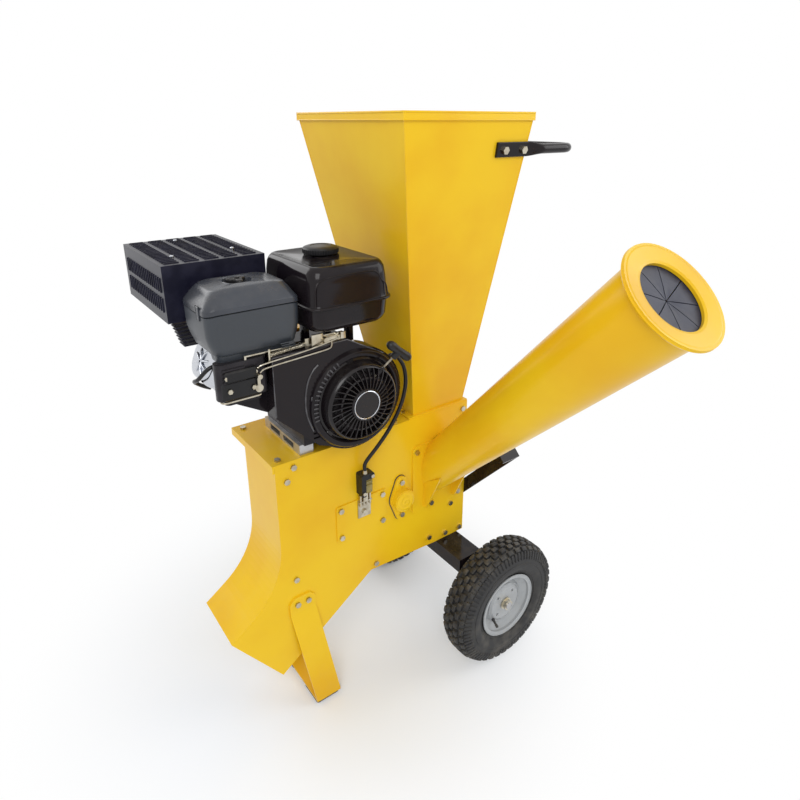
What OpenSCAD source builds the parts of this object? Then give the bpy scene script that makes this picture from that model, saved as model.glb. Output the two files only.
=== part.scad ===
// Petrol wood chipper on two wheels, in millimetres, +Z up.
// +X runs from the discharge chute to the wheels, +Y away from the feed cone side.
// The origin is on the floor, under the middle of the whole machine.

/* [Housing] */
// Length of the housing along the deck
body_l = 558; // [540:1:620]
// Width of the housing over both side plates
body_w = 162; // [154:1:190]
// Height of the deck above the floor
deck_z = 711; // [700:1:730]
// Height of the housing's bottom edge at the wheel end
floor_z = 304; // [296:1:308]
// Rise of the bottom edge towards the chute
floor_rise = 12; // [4:1:14]
// Thickness of the side plates
plate_t = 4; // [3:0.5:5]
// Thickness of the panels between the side plates
panel_t = 3; // [2:0.5:4]
// Thickness of the deck
deck_t = 5; // [4:0.5:6]
// Depth of the deck, which reaches past the far side plate
deck_w = 226; // [215:1:228]
// Depth of the deck's folded lip
deck_lip = 18; // [12:1:24]

/* [Discharge chute] */
// Slope of the chute below level
chute_slope = 35; // [32:0.5:38]
// Height of the chute inside its two sloping walls
chute_h = 202; // [180:1:215]
// Distance of the chute's lower lip behind the deck's edge
chute_out = 20; // [10:1:40]
// Height of the chute's lower lip above the floor
chute_lip_z = 132; // [120:1:145]
// Bend radius of the panel above the chute
chute_bend_r = 200; // [150:5:220]

/* [Hopper] */
// Height of the hopper's rim above the floor
hopper_z = 1428; // [1300:2:1500]
// Length of the hopper's top opening
hopper_top_l = 360; // [300:2:400]
// Depth of the hopper's top opening
hopper_top_w = 425; // [360:2:450]
// Length of the hopper's foot
hopper_foot_l = 162; // [150:1:180]
// Depth of the hopper's foot
hopper_foot_w = 146; // [136:1:152]
// Distance of the hopper's foot from the discharge end
hopper_foot_x = 383; // [380:1:390]
// Offset of the top opening from the foot's middle, towards the discharge
hopper_lean_x = 13; // [0:1:30]
// Offset of the top opening from the foot's middle, away from the cone side
hopper_lean_y = 31; // [0:1:50]
// Thickness of the hopper's sheet
hopper_t = 2.5; // [2:0.5:4]
// Height of the hopper's folded rim
hopper_rim = 18; // [12:1:30]

/* [Feed cone] */
// Distance of the cone's axis from the discharge end, at the side plate
cone_x = 460; // [452:1:466]
// Height of the cone's axis at the side plate
cone_z = 548; // [540:1:556]
// Lean of the cone from upright
cone_tilt = 44; // [40:1:48]
// Length of the cone along its axis
cone_l = 820; // [700:5:900]
// Outside radius of the cone at the side plate
cone_r0 = 58; // [52:1:60]
// Outside radius of the cone under the mouth ring
cone_r1 = 88; // [84:1:92]
// Thickness of the cone's sheet
cone_t = 2.5; // [2:0.5:3]
// Outside radius of the mouth ring
ring_r = 104; // [98:1:112]
// Radius of the mouth ring's opening
ring_bore_r = 66; // [60:1:72]

/* [Wheels] */
// Diameter of the tyres
tyre_d = 350; // [340:1:350]
// Width of the tyres
tyre_w = 90; // [80:1:96]
// Radius of the rims where the tyres seat
rim_r = 84; // [80:1:88]
// Distance of the axle from the discharge end
axle_x = 554; // [550:1:570]
// Distance between the middle planes of the wheels
track = 482; // [470:2:520]
// Radius of the stub axles
axle_r = 10; // [9:0.5:11]

/* [Rotor] */
// Distance of the rotor's axis from the discharge end
rotor_x = 335; // [332:1:340]
// Height of the rotor's axis
rotor_z = 500; // [496:1:504]
// Radius of the rotor disc
disc_r = 160; // [140:1:165]
// Thickness of the rotor disc
disc_t = 12; // [10:1:14]
// Radius of the rotor shaft
shaft_r = 12.5; // [11:0.5:14]
// Radius of the circle of hammer pins
pin_circle_r = 112; // [100:1:116]
// Radius of the hammer pins
pin_r = 7; // [6:0.5:8]
// Reach of a hammer past its pin
hammer_reach = 48; // [40:1:50]
// Thickness of a hammer
hammer_t = 8; // [6:0.5:10]

/* [Drive] */
// Outside radius of the engine pulley
engine_pulley_r = 50; // [45:1:55]
// Outside radius of the rotor pulley
rotor_pulley_r = 70; // [62:1:76]
// Width of a belt
belt_w = 16; // [13:1:17]
// Thickness of a belt
belt_t = 10; // [8:1:11]

/* [Engine] */
// Distance of the crankshaft from the discharge end
crank_x = 181; // [176:1:186]
// Height of the crankshaft above the engine's feet
crank_h = 106; // [104:1:108]
// Height of the engine's mounting rails
rail_h = 25; // [20:1:28]
// Distance between the mounting rails
rail_gap = 196; // [180:2:204]
// Radius of the crankshaft's drive end
crank_r = 12.7; // [12:0.1:14]
// Lean of the cylinder above level
cylinder_lean = 21; // [18:1:24]
// Radius of the fan housing
fan_r = 118; // [112:1:120]
// Radius of the recoil starter
recoil_r = 88; // [82:1:92]
// Length of the fuel tank
tank_l = 190; // [180:1:196]
// Depth of the fuel tank
tank_w = 235; // [220:1:245]
// Height of the fuel tank
tank_h = 133; // [120:1:140]
// Length of the muffler guard
guard_l = 212; // [200:1:214]
// Depth of the muffler guard
guard_w = 280; // [250:2:290]
// Height of the muffler guard
guard_h = 115; // [100:1:120]
// Length of the air cleaner
cleaner_l = 190; // [180:1:194]
// Depth of the air cleaner
cleaner_w = 138; // [125:1:142]

/* [Stand and handle] */
// Width of the leg's strip
leg_w = 68; // [55:1:75]
// Thickness of the leg's strip
leg_t = 5; // [4:0.5:6]
// Outward lean of the leg's arms
leg_lean = 4; // [2:0.5:5]
// Height of the rubber foot pads
pad_h = 10; // [6:1:14]
// Radius of the push handle's tube
handle_r = 11; // [9:0.5:13]
// Reach of the push handle past the hopper
handle_out = 165; // [120:5:200]
// Height of the push handle above the floor
handle_z = 1350; // [1200:5:1360]

/* [Hidden] */
$fn = 64;

yellow = "#f0b90b";
black = "#1b1a1d";
steel = "#a8a9ab";

// Gap between a part and what it seats on when both are curved, and the running fit of shafts.
seat_gap = 0.3;
run_fit = 0.05;
bolt_r = 4;
bolt_hole_r = 4.3;
head_r = 7.5;
head_h = 5;
nut_h = 6;
screw_r = 2.5;
screw_hole_r = 2.7;
screw_head_r = 4.6;

// Outline of the housing seen from the cone side: corner points of the two sloping chute walls.
slope_run = chute_h * sin(chute_slope);
slope_drop = chute_h * cos(chute_slope);
lip_x = -chute_out;
top_lip_x = lip_x - slope_run;
top_lip_z = chute_lip_z + slope_drop;
bend_z = top_lip_z - top_lip_x * tan(chute_slope);
floor_end_z = floor_z + floor_rise;
beam_back = 96;
arch_x = lip_x + (floor_end_z - chute_lip_z) / tan(chute_slope);
plate_top_z = deck_z - deck_t;
bend_tangent = chute_bend_r * tan((90 - chute_slope) / 2);
bend_centre = [-chute_bend_r, bend_z + bend_tangent];

// Middle of the machine over its greatest reach, which puts the origin under it.
guard_x0 = crank_x - 331;
ring_t = 12;
mouth_y = -((cone_l + seat_gap + ring_t - 1) * sin(cone_tilt) + (ring_r - 2) * cos(cone_tilt));
guard_y0 = 105;
handle_end_x = hopper_foot_x + hopper_foot_l + 78 + handle_out;
origin_x = (guard_x0 + handle_end_x) / 2;
origin_y = (mouth_y + guard_y0 + guard_w) / 2;

module place() {
  translate([-origin_x, -origin_y, 0]) children();
}

// Points along an arc in the X-Z outline.
function arc(c, r, a0, a1, n) =
  [for (i = [0:n]) c + r * [cos(a0 + (a1 - a0) * i / n), sin(a0 + (a1 - a0) * i / n)]];

// The bent line of the discharge panel's outer face, from the deck down to the chute's lip.
function discharge_line(inset) = concat(
  [[inset, plate_top_z]],
  arc(bend_centre, chute_bend_r + inset, 0, -(90 - chute_slope), 12),
  [[top_lip_x + inset * sin(chute_slope), top_lip_z - inset * cos(chute_slope)]]);

// The underside line, from the chute's lower lip up to the wheel end.
function underside_line(inset) = [
  [lip_x - inset * sin(chute_slope), chute_lip_z + inset * cos(chute_slope)],
  [arch_x - inset * tan(chute_slope / 2), floor_end_z + inset],
  [axle_x - beam_back, floor_z + inset],
  [body_l, floor_z + inset]];

module side_outline() {
  polygon(concat(discharge_line(0), underside_line(0), [[body_l, plate_top_z]]));
}

// Extrudes an X-Z outline from y to y + t.
module along_y(y, t) {
  translate([0, y + t, 0]) rotate([90, 0, 0]) linear_extrude(height = t) children();
}

// A round bar along Y.
module bar_y(x, z, y, t, r) {
  translate([x, y + t, z]) rotate([90, 0, 0]) cylinder(r = r, h = t);
}

// A hexagonal prism along Y.
module hex_y(x, z, y, t, r) {
  translate([x, y + t, z]) rotate([90, 0, 0]) cylinder(r = r, h = t, $fn = 6);
}

// A block with its edges along Z rounded.
module soft_block(x, y, z, l, w, h, r) {
  translate([x, y, z]) linear_extrude(height = h) rounded(l, w, r);
}

module rounded(l, w, r) {
  translate([r, 0]) square([l - 2 * r, w]);
  translate([0, r]) square([l, w - 2 * r]);
  for (cx = [r, l - r], cy = [r, w - r]) translate([cx, cy]) circle(r = r);
}

// Bolts through the near side plate, by distance along and height.
near_bolts = [[44, plate_top_z - 12], [26, plate_top_z - 42], [32, bend_z + 2], [258, floor_end_z + 14],
  [434, floor_z + 26], [492, floor_z + 16], [body_l - 14, floor_z + 13], [508, 411],
  [body_l - 16, plate_top_z - 14]];

/* Housing */

cone_hole_rx = cone_r0 - cone_t - 2;
bearing_bolt_gap = 95;
cover_x = 146;
cover_z = 445;
cover_l = 144;
cover_h = 100;
cover_t = 3;
cover_inset = 12;
cover_bolts = [for (x = [cover_x + cover_inset, cover_x + cover_l - cover_inset],
  z = [cover_z + cover_inset, cover_z + cover_h - cover_inset]) [x, z]];
leg_bolts = [[29, 326], [57, 326]];

// Where the cone's bore meets the plate, as an upright oval.
module cone_window() {
  translate([cone_x, cone_z]) intersection() {
    circle(r = cone_hole_rx / sin(cone_tilt));
    square([2 * cone_hole_rx, 3 * cone_r0], center = true);
  }
}

module bolt_holes(points, y, t, r = bolt_hole_r) {
  for (p = points) bar_y(p[0], p[1], y - 1, t + 2, r);
}

flange_bolts = [[cone_x - 74, cone_z + 66], [cone_x - 24, cone_z - 104], [cone_x + 70, cone_z - 104],
  [cone_x + 70, cone_z + 66]];
shaft_hole_r = 26;

module near_side_plate() {
  color(yellow) place() difference() {
    along_y(0, plate_t) side_outline();
    along_y(-1, plate_t + 2) cone_window();
    along_y(-1, plate_t + 2) translate([cover_x + 22, cover_z + 22]) square([cover_l - 44, cover_h - 44]);
    bar_y(rotor_x, rotor_z, -1, plate_t + 2, shaft_hole_r);
    bolt_holes(near_bolts, 0, plate_t);
    bolt_holes(cover_bolts, 0, plate_t);
    bolt_holes(leg_bolts, 0, plate_t);
    bolt_holes(flange_bolts, 0, plate_t);
    bolt_holes(bearing_bolts(), 0, plate_t);
    bolt_holes(switch_bolts, 0, plate_t, screw_hole_r);
  }
}

function bearing_bolts() = [for (s = [-1, 1]) [rotor_x, rotor_z + s * bearing_bolt_gap / 2]];

module far_side_plate() {
  color(yellow) place() difference() {
    along_y(body_w - plate_t, plate_t) side_outline();
    bar_y(rotor_x, rotor_z, body_w - plate_t - 1, plate_t + 2, shaft_hole_r);
    bolt_holes(leg_bolts, body_w - plate_t, plate_t);
    bolt_holes(bearing_bolts(), body_w - plate_t, plate_t);
    bolt_holes(standoff_points, body_w - plate_t, plate_t);
  }
}

inner_w = body_w - 2 * plate_t;

// The last point of a panel line, reached from the other end.
function reversed(v) = [for (i = [len(v) - 1:-1:0]) v[i]];

module discharge_panel() {
  color(yellow) place() along_y(plate_t, inner_w)
    polygon(concat(discharge_line(0), reversed(discharge_line(panel_t))));
}

module underside_panel() {
  color(yellow) place() along_y(plate_t, inner_w)
    polygon(concat(underside_line(0), reversed(underside_line(panel_t))));
}

module rear_panel() {
  color(yellow) place() difference() {
    translate([body_l - panel_t, plate_t, floor_z + panel_t + seat_gap])
      cube([panel_t, inner_w, plate_top_z - floor_z - panel_t - seat_gap]);
    for (p = brace_bolts) translate([body_l - panel_t - 1, p[0], p[1]])
      rotate([0, 90, 0]) cylinder(r = bolt_hole_r, h = panel_t + 2);
  }
}

throat_margin = 12;
hopper_foot_y = (body_w - hopper_foot_w) / 2;
foot_flange = 14;
foot_lip = 7;
deck_bolts = [[16, 18], [16, 205], [330, 15]];
hopper_flange_t = 4;

module deck() {
  color(yellow) place() difference() {
    union() {
      translate([-deck_t, 0, plate_top_z]) cube([body_l + deck_t, deck_w, deck_t]);
      translate([-deck_t, 0, deck_z - deck_lip]) cube([deck_t - seat_gap, deck_w, deck_lip]);
      translate([0, deck_w - deck_t, deck_z - deck_lip]) cube([body_l, deck_t, deck_lip]);
    }
    translate([hopper_foot_x + throat_margin, hopper_foot_y + throat_margin, plate_top_z - 1])
      cube([hopper_foot_l - 2 * throat_margin, hopper_foot_w - 2 * throat_margin, deck_t + 2]);
    for (p = concat(deck_bolts, rail_bolts))
      translate([p[0], p[1], plate_top_z - 1]) cylinder(r = bolt_hole_r, h = deck_t + 2);
    for (p = hopper_bolts) translate([p[0], p[1], plate_top_z - 1]) cylinder(r = screw_hole_r, h = deck_t + 2);
  }
}

module access_cover() {
  color(yellow) place() difference() {
    along_y(-cover_t, cover_t) translate([cover_x, cover_z]) rounded(cover_l, cover_h, 5);
    bolt_holes(cover_bolts, -cover_t, cover_t);
    bolt_holes([key_bolt], -cover_t, cover_t);
  }
}

/* Hopper and handle */

foot_x1 = hopper_foot_x + hopper_foot_l;
hopper_bolts = [for (x = [hopper_foot_x - 10, foot_x1 + 7.5],
  y = [hopper_foot_y + 28, hopper_foot_y + hopper_foot_w - 28]) [x, y]];
top_x0 = hopper_foot_x + hopper_foot_l / 2 - hopper_top_l / 2 - hopper_lean_x;
top_y0 = body_w / 2 - hopper_top_w / 2 + hopper_lean_y;

// The hopper's tapering body, drawn in by d on every side.
module hopper_body(d, lower) {
  hull() {
    translate([hopper_foot_x + d, hopper_foot_y + d, deck_z - lower])
      cube([hopper_foot_l - 2 * d, hopper_foot_w - 2 * d, 1 + lower]);
    translate([top_x0 + d, top_y0 + d, hopper_z - 1 + lower])
      cube([hopper_top_l - 2 * d, hopper_top_w - 2 * d, 1]);
  }
}

module hopper() {
  color(yellow) place() difference() {
    union() {
      hopper_body(0, 0);
      translate([top_x0 - 2, top_y0 - 2, hopper_z - hopper_rim])
        cube([hopper_top_l + 4, hopper_top_w + 4, hopper_rim]);
      translate([hopper_foot_x - foot_flange - 4, hopper_foot_y - foot_lip, deck_z])
        cube([hopper_foot_l + 2 * foot_flange + 3, hopper_foot_w + 2 * foot_lip, hopper_flange_t]);
    }
    hopper_body(hopper_t, 1);
    for (p = hopper_bolts) translate([p[0], p[1], deck_z - 1]) cylinder(r = screw_hole_r, h = hopper_flange_t + 2);
    for (side = [-1, 1], x = handle_bolt_x) on_face(side) bar_y(x, 0, -12, 24, bolt_hole_r);
  }
}

// Front and rear faces of the hopper at the handle's height.
handle_share = (hopper_z - handle_z) / (hopper_z - deck_z);
face_near_y = top_y0 + (hopper_foot_y - top_y0) * handle_share;
face_far_y = top_y0 + hopper_top_w + (hopper_foot_y + hopper_foot_w - top_y0 - hopper_top_w) * handle_share;
face_lean = atan((hopper_foot_y - top_y0) / (hopper_z - deck_z));
far_lean = atan((top_y0 + hopper_top_w - hopper_foot_y - hopper_foot_w) / (hopper_z - deck_z));
tab_x = hopper_foot_x + 145;
tab_l = 112;
tab_h = 32;
tab_t = 6;
bend_r = 45;
handle_bolt_x = [tab_x + 22, tab_x + 80];

// A quarter bend of round tube about Z.
module tube_bend(r, a) {
  rotate([0, 0, a]) rotate_extrude(angle = 90) translate([r, 0]) circle(r = handle_r);
}

// Moves onto the hopper's near (-1) or far (1) face, with y square to it.
module on_face(side) {
  translate([0, side < 0 ? face_near_y - seat_gap : face_far_y + seat_gap, handle_z])
    rotate([side < 0 ? face_lean : -far_lean, 0, 0]) children();
}

module handle_tab(side) {
  on_face(side) translate([tab_x, side < 0 ? -tab_t : 0, -tab_h / 2]) cube([tab_l, tab_t, tab_h]);
}

module push_handle() {
  near_y = round(face_near_y - tab_t - handle_r + 4);
  far_y = round(face_far_y + tab_t + handle_r - 4);
  bend_x = handle_end_x - handle_r - bend_r;
  color(black) place() difference() {
    union() {
      handle_tab(-1);
      handle_tab(1);
      for (y = [near_y, far_y]) translate([tab_x + tab_l - 8, y, handle_z])
        rotate([0, 90, 0]) cylinder(r = handle_r, h = bend_x - tab_x - tab_l + 8);
      translate([bend_x, near_y + bend_r, handle_z]) tube_bend(bend_r, -90);
      translate([bend_x, far_y - bend_r, handle_z]) tube_bend(bend_r, 0);
      translate([bend_x + bend_r, near_y + bend_r, handle_z]) rotate([-90, 0, 0])
        cylinder(r = handle_r, h = far_y - near_y - 2 * bend_r);
    }
    for (side = [-1, 1], x = handle_bolt_x) on_face(side) bar_y(x, 0, -12, 24, bolt_hole_r);
  }
}

/* Feed cone */

flange_t = 4;
flange_x0 = cone_x - 86;
flange_l = 172;
flange_z0 = cone_z - 118;
flange_h = 200;
slope_in = (cone_r1 - cone_r0) / cone_l;
root = 90;

// Moves to the cone's own axis, with the side plate at zero.
module on_cone_axis() {
  translate([cone_x, 0, cone_z]) rotate([cone_tilt, 0, 0]) children();
}

// A tapering plug that follows the cone's wall, d inside it.
module cone_plug(d, s0, s1) {
  translate([0, 0, s0]) cylinder(r1 = cone_r0 + slope_in * s0 - d, r2 = cone_r0 + slope_in * s1 - d,
    h = s1 - s0);
}

module feed_cone() {
  color(yellow) place() difference() {
    union() {
      difference() {
        on_cone_axis() cone_plug(0, -root, cone_l);
        translate([cone_x - 200, -flange_t, cone_z - 300]) cube([400, 400, 600]);
      }
      along_y(-flange_t, flange_t) translate([flange_x0, flange_z0]) rounded(flange_l, flange_h, 14);
      for (s = [-1, 1]) cone_gusset(cone_x + s * (cone_r0 - 9));
    }
    on_cone_axis() cone_plug(cone_t, -root - 40, cone_l + 1);
    bolt_holes(flange_bolts, -flange_t, flange_t);
  }
}

// A small triangular rib between the flange and the cone's underside.
module cone_gusset(x) {
  translate([x - 2, 0, 0]) rotate([90, 0, 90]) linear_extrude(height = 4)
    polygon([[-flange_t, cone_z - 106], [-flange_t, cone_z - 30], [-70, cone_z + 12], [-18, cone_z - 100]]);
}

curtain_t = 5;

module mouth_ring() {
  color(yellow) place() on_cone_axis() translate([0, 0, cone_l + seat_gap]) rotate_extrude()
    polygon([[ring_bore_r, 0], [cone_r1 + 2, 0], [ring_r - 3, 2], [ring_r, 6], [ring_r - 2, ring_t - 1],
      [ring_r - 8, ring_t], [ring_bore_r + 5, ring_t - 4], [ring_bore_r, ring_t - 6]]);
}

// Rubber sheet behind the ring, cut into leaves from the middle.
module rubber_curtain() {
  leaves = 8;
  slit = 1.2;
  color(black) place() on_cone_axis() translate([0, 0, cone_l - curtain_t]) difference() {
    cylinder(r = cone_r1 - cone_t - 1, h = curtain_t);
    for (i = [0:leaves / 2 - 1]) rotate([0, 0, i * 360 / leaves])
      translate([-ring_bore_r, -slit / 2, -1]) cube([2 * ring_bore_r, slit, curtain_t + 2]);
  }
}

brace_w = 32;
brace_t = 6;
brace_top = [-178, 640];
brace_low = [52, 392];
brace_run = norm(brace_top - brace_low);
brace_angle = atan2(brace_top[1] - brace_low[1], brace_low[0] - brace_top[0]);
brace_bolts = [for (d = [16, 50]) brace_low + d / brace_run * (brace_top - brace_low)];

// Flat bar from the wheel-end panel up to the cone's flank, with a folded foot on the cone.
module cone_brace() {
  color(black) place() difference() {
    translate([body_l, brace_low[0], brace_low[1]]) rotate([-brace_angle, 0, 0]) union() {
      translate([0, -brace_run, -brace_w / 2]) cube([brace_t, brace_run + 20, brace_w]);
      translate([-50, -brace_run, -brace_w / 2]) cube([50 + brace_t, brace_t, brace_w]);
    }
    on_cone_axis() cone_plug(-seat_gap, 0, cone_l);
    translate([body_l - 60, -10, 300]) cube([60, 200, 400]);
    for (p = brace_bolts) translate([body_l - 1, p[0], p[1]])
      rotate([0, 90, 0]) cylinder(r = bolt_hole_r, h = brace_t + 2);
  }
}

/* Leg and wheels */

leg_top_z = 345;
leg_top_x = 43 - leg_w / 2;
leg_foot_x = leg_top_x + 46;
leg_tab_z = 300;
foot_z = pad_h + leg_t;
leg_out = (leg_tab_z - foot_z) * tan(leg_lean);

// The strip's section and its outline from the cone side, crossed with each other.
module leg_frame() {
  color(yellow) place() difference() {
    intersection() {
      translate([leg_top_x - 10, 0, 0]) rotate([90, 0, 90]) linear_extrude(height = leg_w + 80) polygon([
        [-leg_t, leg_top_z], [-leg_t, leg_tab_z], [-leg_out - leg_t, pad_h], [body_w + leg_out + leg_t, pad_h],
        [body_w + leg_t, leg_tab_z], [body_w + leg_t, leg_top_z], [body_w, leg_top_z], [body_w, leg_tab_z],
        [body_w + leg_out, foot_z], [-leg_out, foot_z], [0, leg_tab_z], [0, leg_top_z]]);
      along_y(-60, body_w + 120) polygon([[leg_foot_x, pad_h - 1], [leg_foot_x + leg_w, pad_h - 1],
        [leg_foot_x + leg_w, foot_z], [leg_top_x + leg_w, leg_tab_z], [leg_top_x + leg_w, leg_top_z - 14],
        [leg_top_x + leg_w - 14, leg_top_z], [leg_top_x + 14, leg_top_z], [leg_top_x, leg_top_z - 14],
        [leg_top_x, leg_tab_z], [leg_foot_x, foot_z]]);
    }
    bolt_holes(leg_bolts, -leg_t, leg_t);
    bolt_holes(leg_bolts, body_w, leg_t);
  }
}

module foot_pads() {
  pad_l = 70;
  color(black) place() for (y = [-leg_out, body_w + leg_out - pad_l])
    soft_block(leg_foot_x + 2, y, 0, leg_w - 4, pad_l, pad_h, 6);
}

axle_z = tyre_d / 2;
beam_w = 76;
beam_h = 40;
beam_t = 4;
beam_x = axle_x - beam_back + 2;
beam_top = floor_z;
near_wheel_y = body_w / 2 - track / 2;
far_wheel_y = body_w / 2 + track / 2;
hub_half = 38;
beam_y0 = near_wheel_y + tyre_w / 2 + 14;
beam_y1 = far_wheel_y - tyre_w / 2 - 14;
drop_t = 8;

// Rectangular tube under the housing, with a drop plate at each end for the stub axles.
module axle_beam() {
  color(black) place() difference() {
    union() {
      translate([beam_x, beam_y0, beam_top - beam_h]) cube([beam_w, beam_y1 - beam_y0, beam_h]);
      for (y = [beam_y0, beam_y1 - drop_t]) along_y(y, drop_t) polygon([[beam_x, beam_top - beam_h],
        [beam_x, beam_top], [beam_x + beam_w, beam_top], [axle_x + 26, axle_z + 12], [axle_x + 22, axle_z - 24],
        [axle_x - 22, axle_z - 24]]);
    }
    translate([beam_x + beam_t, beam_y0 + drop_t, beam_top - beam_h + beam_t])
      cube([beam_w - 2 * beam_t, beam_y1 - beam_y0 - 2 * drop_t, beam_h - 2 * beam_t]);
    for (y = [beam_y0, beam_y1 - drop_t]) bar_y(axle_x, axle_z, y - 1, drop_t + 2, axle_r);
  }
}

hub_out = 26;
wheel_washer = 3;
nut_l = 10;
stub_out = hub_out + seat_gap + wheel_washer + nut_l + 2;

module stub_axles() {
  color(steel) place() {
    bar_y(axle_x, axle_z, near_wheel_y - stub_out, beam_y0 + drop_t - near_wheel_y + stub_out, axle_r);
    bar_y(axle_x, axle_z, near_wheel_y + hub_half + seat_gap, beam_y0 - near_wheel_y - hub_half - seat_gap, hub_r);
    bar_y(axle_x, axle_z, beam_y1 - drop_t, far_wheel_y + stub_out - beam_y1 + drop_t, axle_r);
    bar_y(axle_x, axle_z, beam_y1, far_wheel_y - hub_half - seat_gap - beam_y1, hub_r);
  }
}

// Section of the tyre: bead, sidewall, shoulder and crown.
module tyre_section() {
  r = tyre_d / 2;
  h = tyre_w / 2;
  polygon([[rim_r + 0.2, -h + 16], [rim_r + 10, -h + 11], [rim_r + 30, -h], [r - 34, -h], [r - 16, -h + 4],
    [r - 6, -h + 12], [r, -h + 24], [r, h - 24], [r - 6, h - 12], [r - 16, h - 4], [r - 34, h], [rim_r + 30, h],
    [rim_r + 10, h - 11], [rim_r + 0.2, h - 16], [rim_r + 0.2, h - 22], [rim_r + 12, h - 22], [rim_r + 30, h - 12],
    [r - 26, h - 14], [r - 14, h - 26], [r - 14, -h + 26], [r - 26, -h + 14], [rim_r + 30, -h + 12],
    [rim_r + 12, -h + 22], [rim_r + 0.2, -h + 22]]);
}

groove_d = 5;

module tyre(y) {
  translate([axle_x, y, axle_z]) rotate([90, 0, 0]) difference() {
    rotate_extrude($fn = 72) tyre_section();
    for (h = [-16, 0, 16]) translate([0, 0, h - 1.5]) difference() {
      cylinder(r = tyre_d / 2 + 1, h = 3);
      translate([0, 0, -1]) cylinder(r = tyre_d / 2 - groove_d, h = 5);
    }
  }
}

module near_tyre() {
  color(black) place() tyre(near_wheel_y);
}

module far_tyre() {
  color(black) place() tyre(far_wheel_y);
}

hub_r = 18;

// Pressed rim: two dished halves on a hub tube, out = side the dish faces.
module rim(y, out) {
  h = tyre_w / 2;
  t = 3;
  translate([axle_x, y, axle_z]) rotate([90, 0, 0]) mirror([0, 0, out > 0 ? 1 : 0]) difference() {
    union() {
      rotate_extrude() polygon([[rim_r, -h + 13], [rim_r, h - 13], [rim_r + 7, h - 10], [rim_r + 7, h - 7],
        [rim_r - 3, h - 9], [rim_r - t, h - 16], [rim_r - 14, h - 24], [62, h - 28], [48, h - 20],
        [hub_r + 10, h - 20], [hub_r, h - 19.5], [hub_r, hub_out], [axle_r + run_fit, hub_out],
        [axle_r + run_fit, -hub_half], [hub_r, -hub_half], [hub_r, h - 24], [hub_r + 10, h - 24],
        [46, h - 24], [60, h - 32], [rim_r - 14, h - 28], [rim_r - t, h - 22], [rim_r - t, -h + 16],
        [rim_r - 3, -h + 9], [rim_r + 7, -h + 7], [rim_r + 7, -h + 10]]);
    }
    for (i = [0:3]) rotate([0, 0, 45 + i * 90]) translate([38, 0, h - 40]) cylinder(r = 4, h = 40);
  }
}

module near_rim() {
  color(steel) place() rim(near_wheel_y, -1);
}

module far_rim() {
  color(steel) place() rim(far_wheel_y, 1);
}

/* Rotor */

disc_y = plate_t + 26;
end_plate_y = disc_y + disc_t + 78;
end_plate_t = 8;
shaft_y0 = -24;
pulley_y = deck_w + 8;
pulley_w = 2 * belt_w + 12;
shaft_end = pulley_y + pulley_w + 4;

module rotor_shaft() {
  color(steel) place() bar_y(rotor_x, rotor_z, shaft_y0, shaft_end - shaft_y0, shaft_r);
}

// Points of the four hammer pins around the rotor's axis.
function pin_point(i) = [rotor_x + pin_circle_r * cos(45 + 90 * i), rotor_z + pin_circle_r * sin(45 + 90 * i)];

knife_l = 92;
knife_w = 46;
knife_t = 8;
knife_in = 56;
knife_angles = [0, 180];

// Disc with its hub, and the smaller end plate that holds the far ends of the pins.
module rotor_disc() {
  color(steel) place() difference() {
    union() {
      bar_y(rotor_x, rotor_z, disc_y, disc_t, disc_r);
      bar_y(rotor_x, rotor_z, disc_y, end_plate_y + end_plate_t - disc_y, 32);
      bar_y(rotor_x, rotor_z, end_plate_y, end_plate_t, pin_circle_r + 22);
    }
    bar_y(rotor_x, rotor_z, 0, body_w, shaft_r);
    for (i = [0:3]) bar_y(pin_point(i)[0], pin_point(i)[1], 0, body_w, pin_r);
    for (a = knife_angles) translate([rotor_x, disc_y, rotor_z]) rotate([0, a, 0])
      translate([knife_in + 4, -1, knife_w / 2 + 2]) cube([knife_l - 8, disc_t + 2, 16]);
  }
}

// Two bevelled knives screwed to the disc's face towards the cone.
module chipper_knives() {
  color("#c9cbce") place() for (a = knife_angles)
    translate([rotor_x, disc_y, rotor_z]) rotate([0, a, 0]) difference() {
      translate([knife_in, 0, -knife_w / 2]) rotate([90, 0, 90]) linear_extrude(height = knife_l)
        polygon([[-knife_t, knife_w], [0, knife_w - 8], [0, 0], [-knife_t, 0]]);
      for (x = [knife_in + 20, knife_in + knife_l - 20]) translate([x, -knife_t - 1, 0])
        rotate([-90, 0, 0]) cylinder(r1 = 9, r2 = 3, h = 6);
    }
}

spacer_r = 12;
hammer_y = [disc_y + disc_t + 14, disc_y + disc_t + 50];

// Pins across the rotor, each with collars that space its hammers.
module hammer_pins() {
  color(steel) place() for (i = [0:3]) {
    p = pin_point(i);
    bar_y(p[0], p[1], disc_y, end_plate_y + end_plate_t - disc_y, pin_r);
    bar_y(p[0], p[1], disc_y + disc_t, hammer_y[0] - disc_y - disc_t - seat_gap, spacer_r);
    bar_y(p[0], p[1], hammer_y[0] + hammer_t + seat_gap, hammer_y[1] - hammer_y[0] - hammer_t - 2 * seat_gap,
      spacer_r);
    bar_y(p[0], p[1], hammer_y[1] + hammer_t + seat_gap, end_plate_y - hammer_y[1] - hammer_t - seat_gap,
      spacer_r);
  }
}

// A pair of swinging hammers on one pin, standing straight out.
module hammer_pair(i) {
  half_w = 15;
  color("#6d6e71") place() for (y = hammer_y) difference() {
    translate([pin_point(i)[0], 0, pin_point(i)[1]]) rotate([0, -45 - 90 * i, 0]) union() {
      along_y(y, hammer_t) translate([0, -half_w]) square([hammer_reach, 2 * half_w]);
      bar_y(0, 0, y, hammer_t, half_w);
    }
    bar_y(pin_point(i)[0], pin_point(i)[1], y - 1, hammer_t + 2, pin_r + run_fit);
  }
}

module hammers_1() {
  hammer_pair(0);
}

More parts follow.
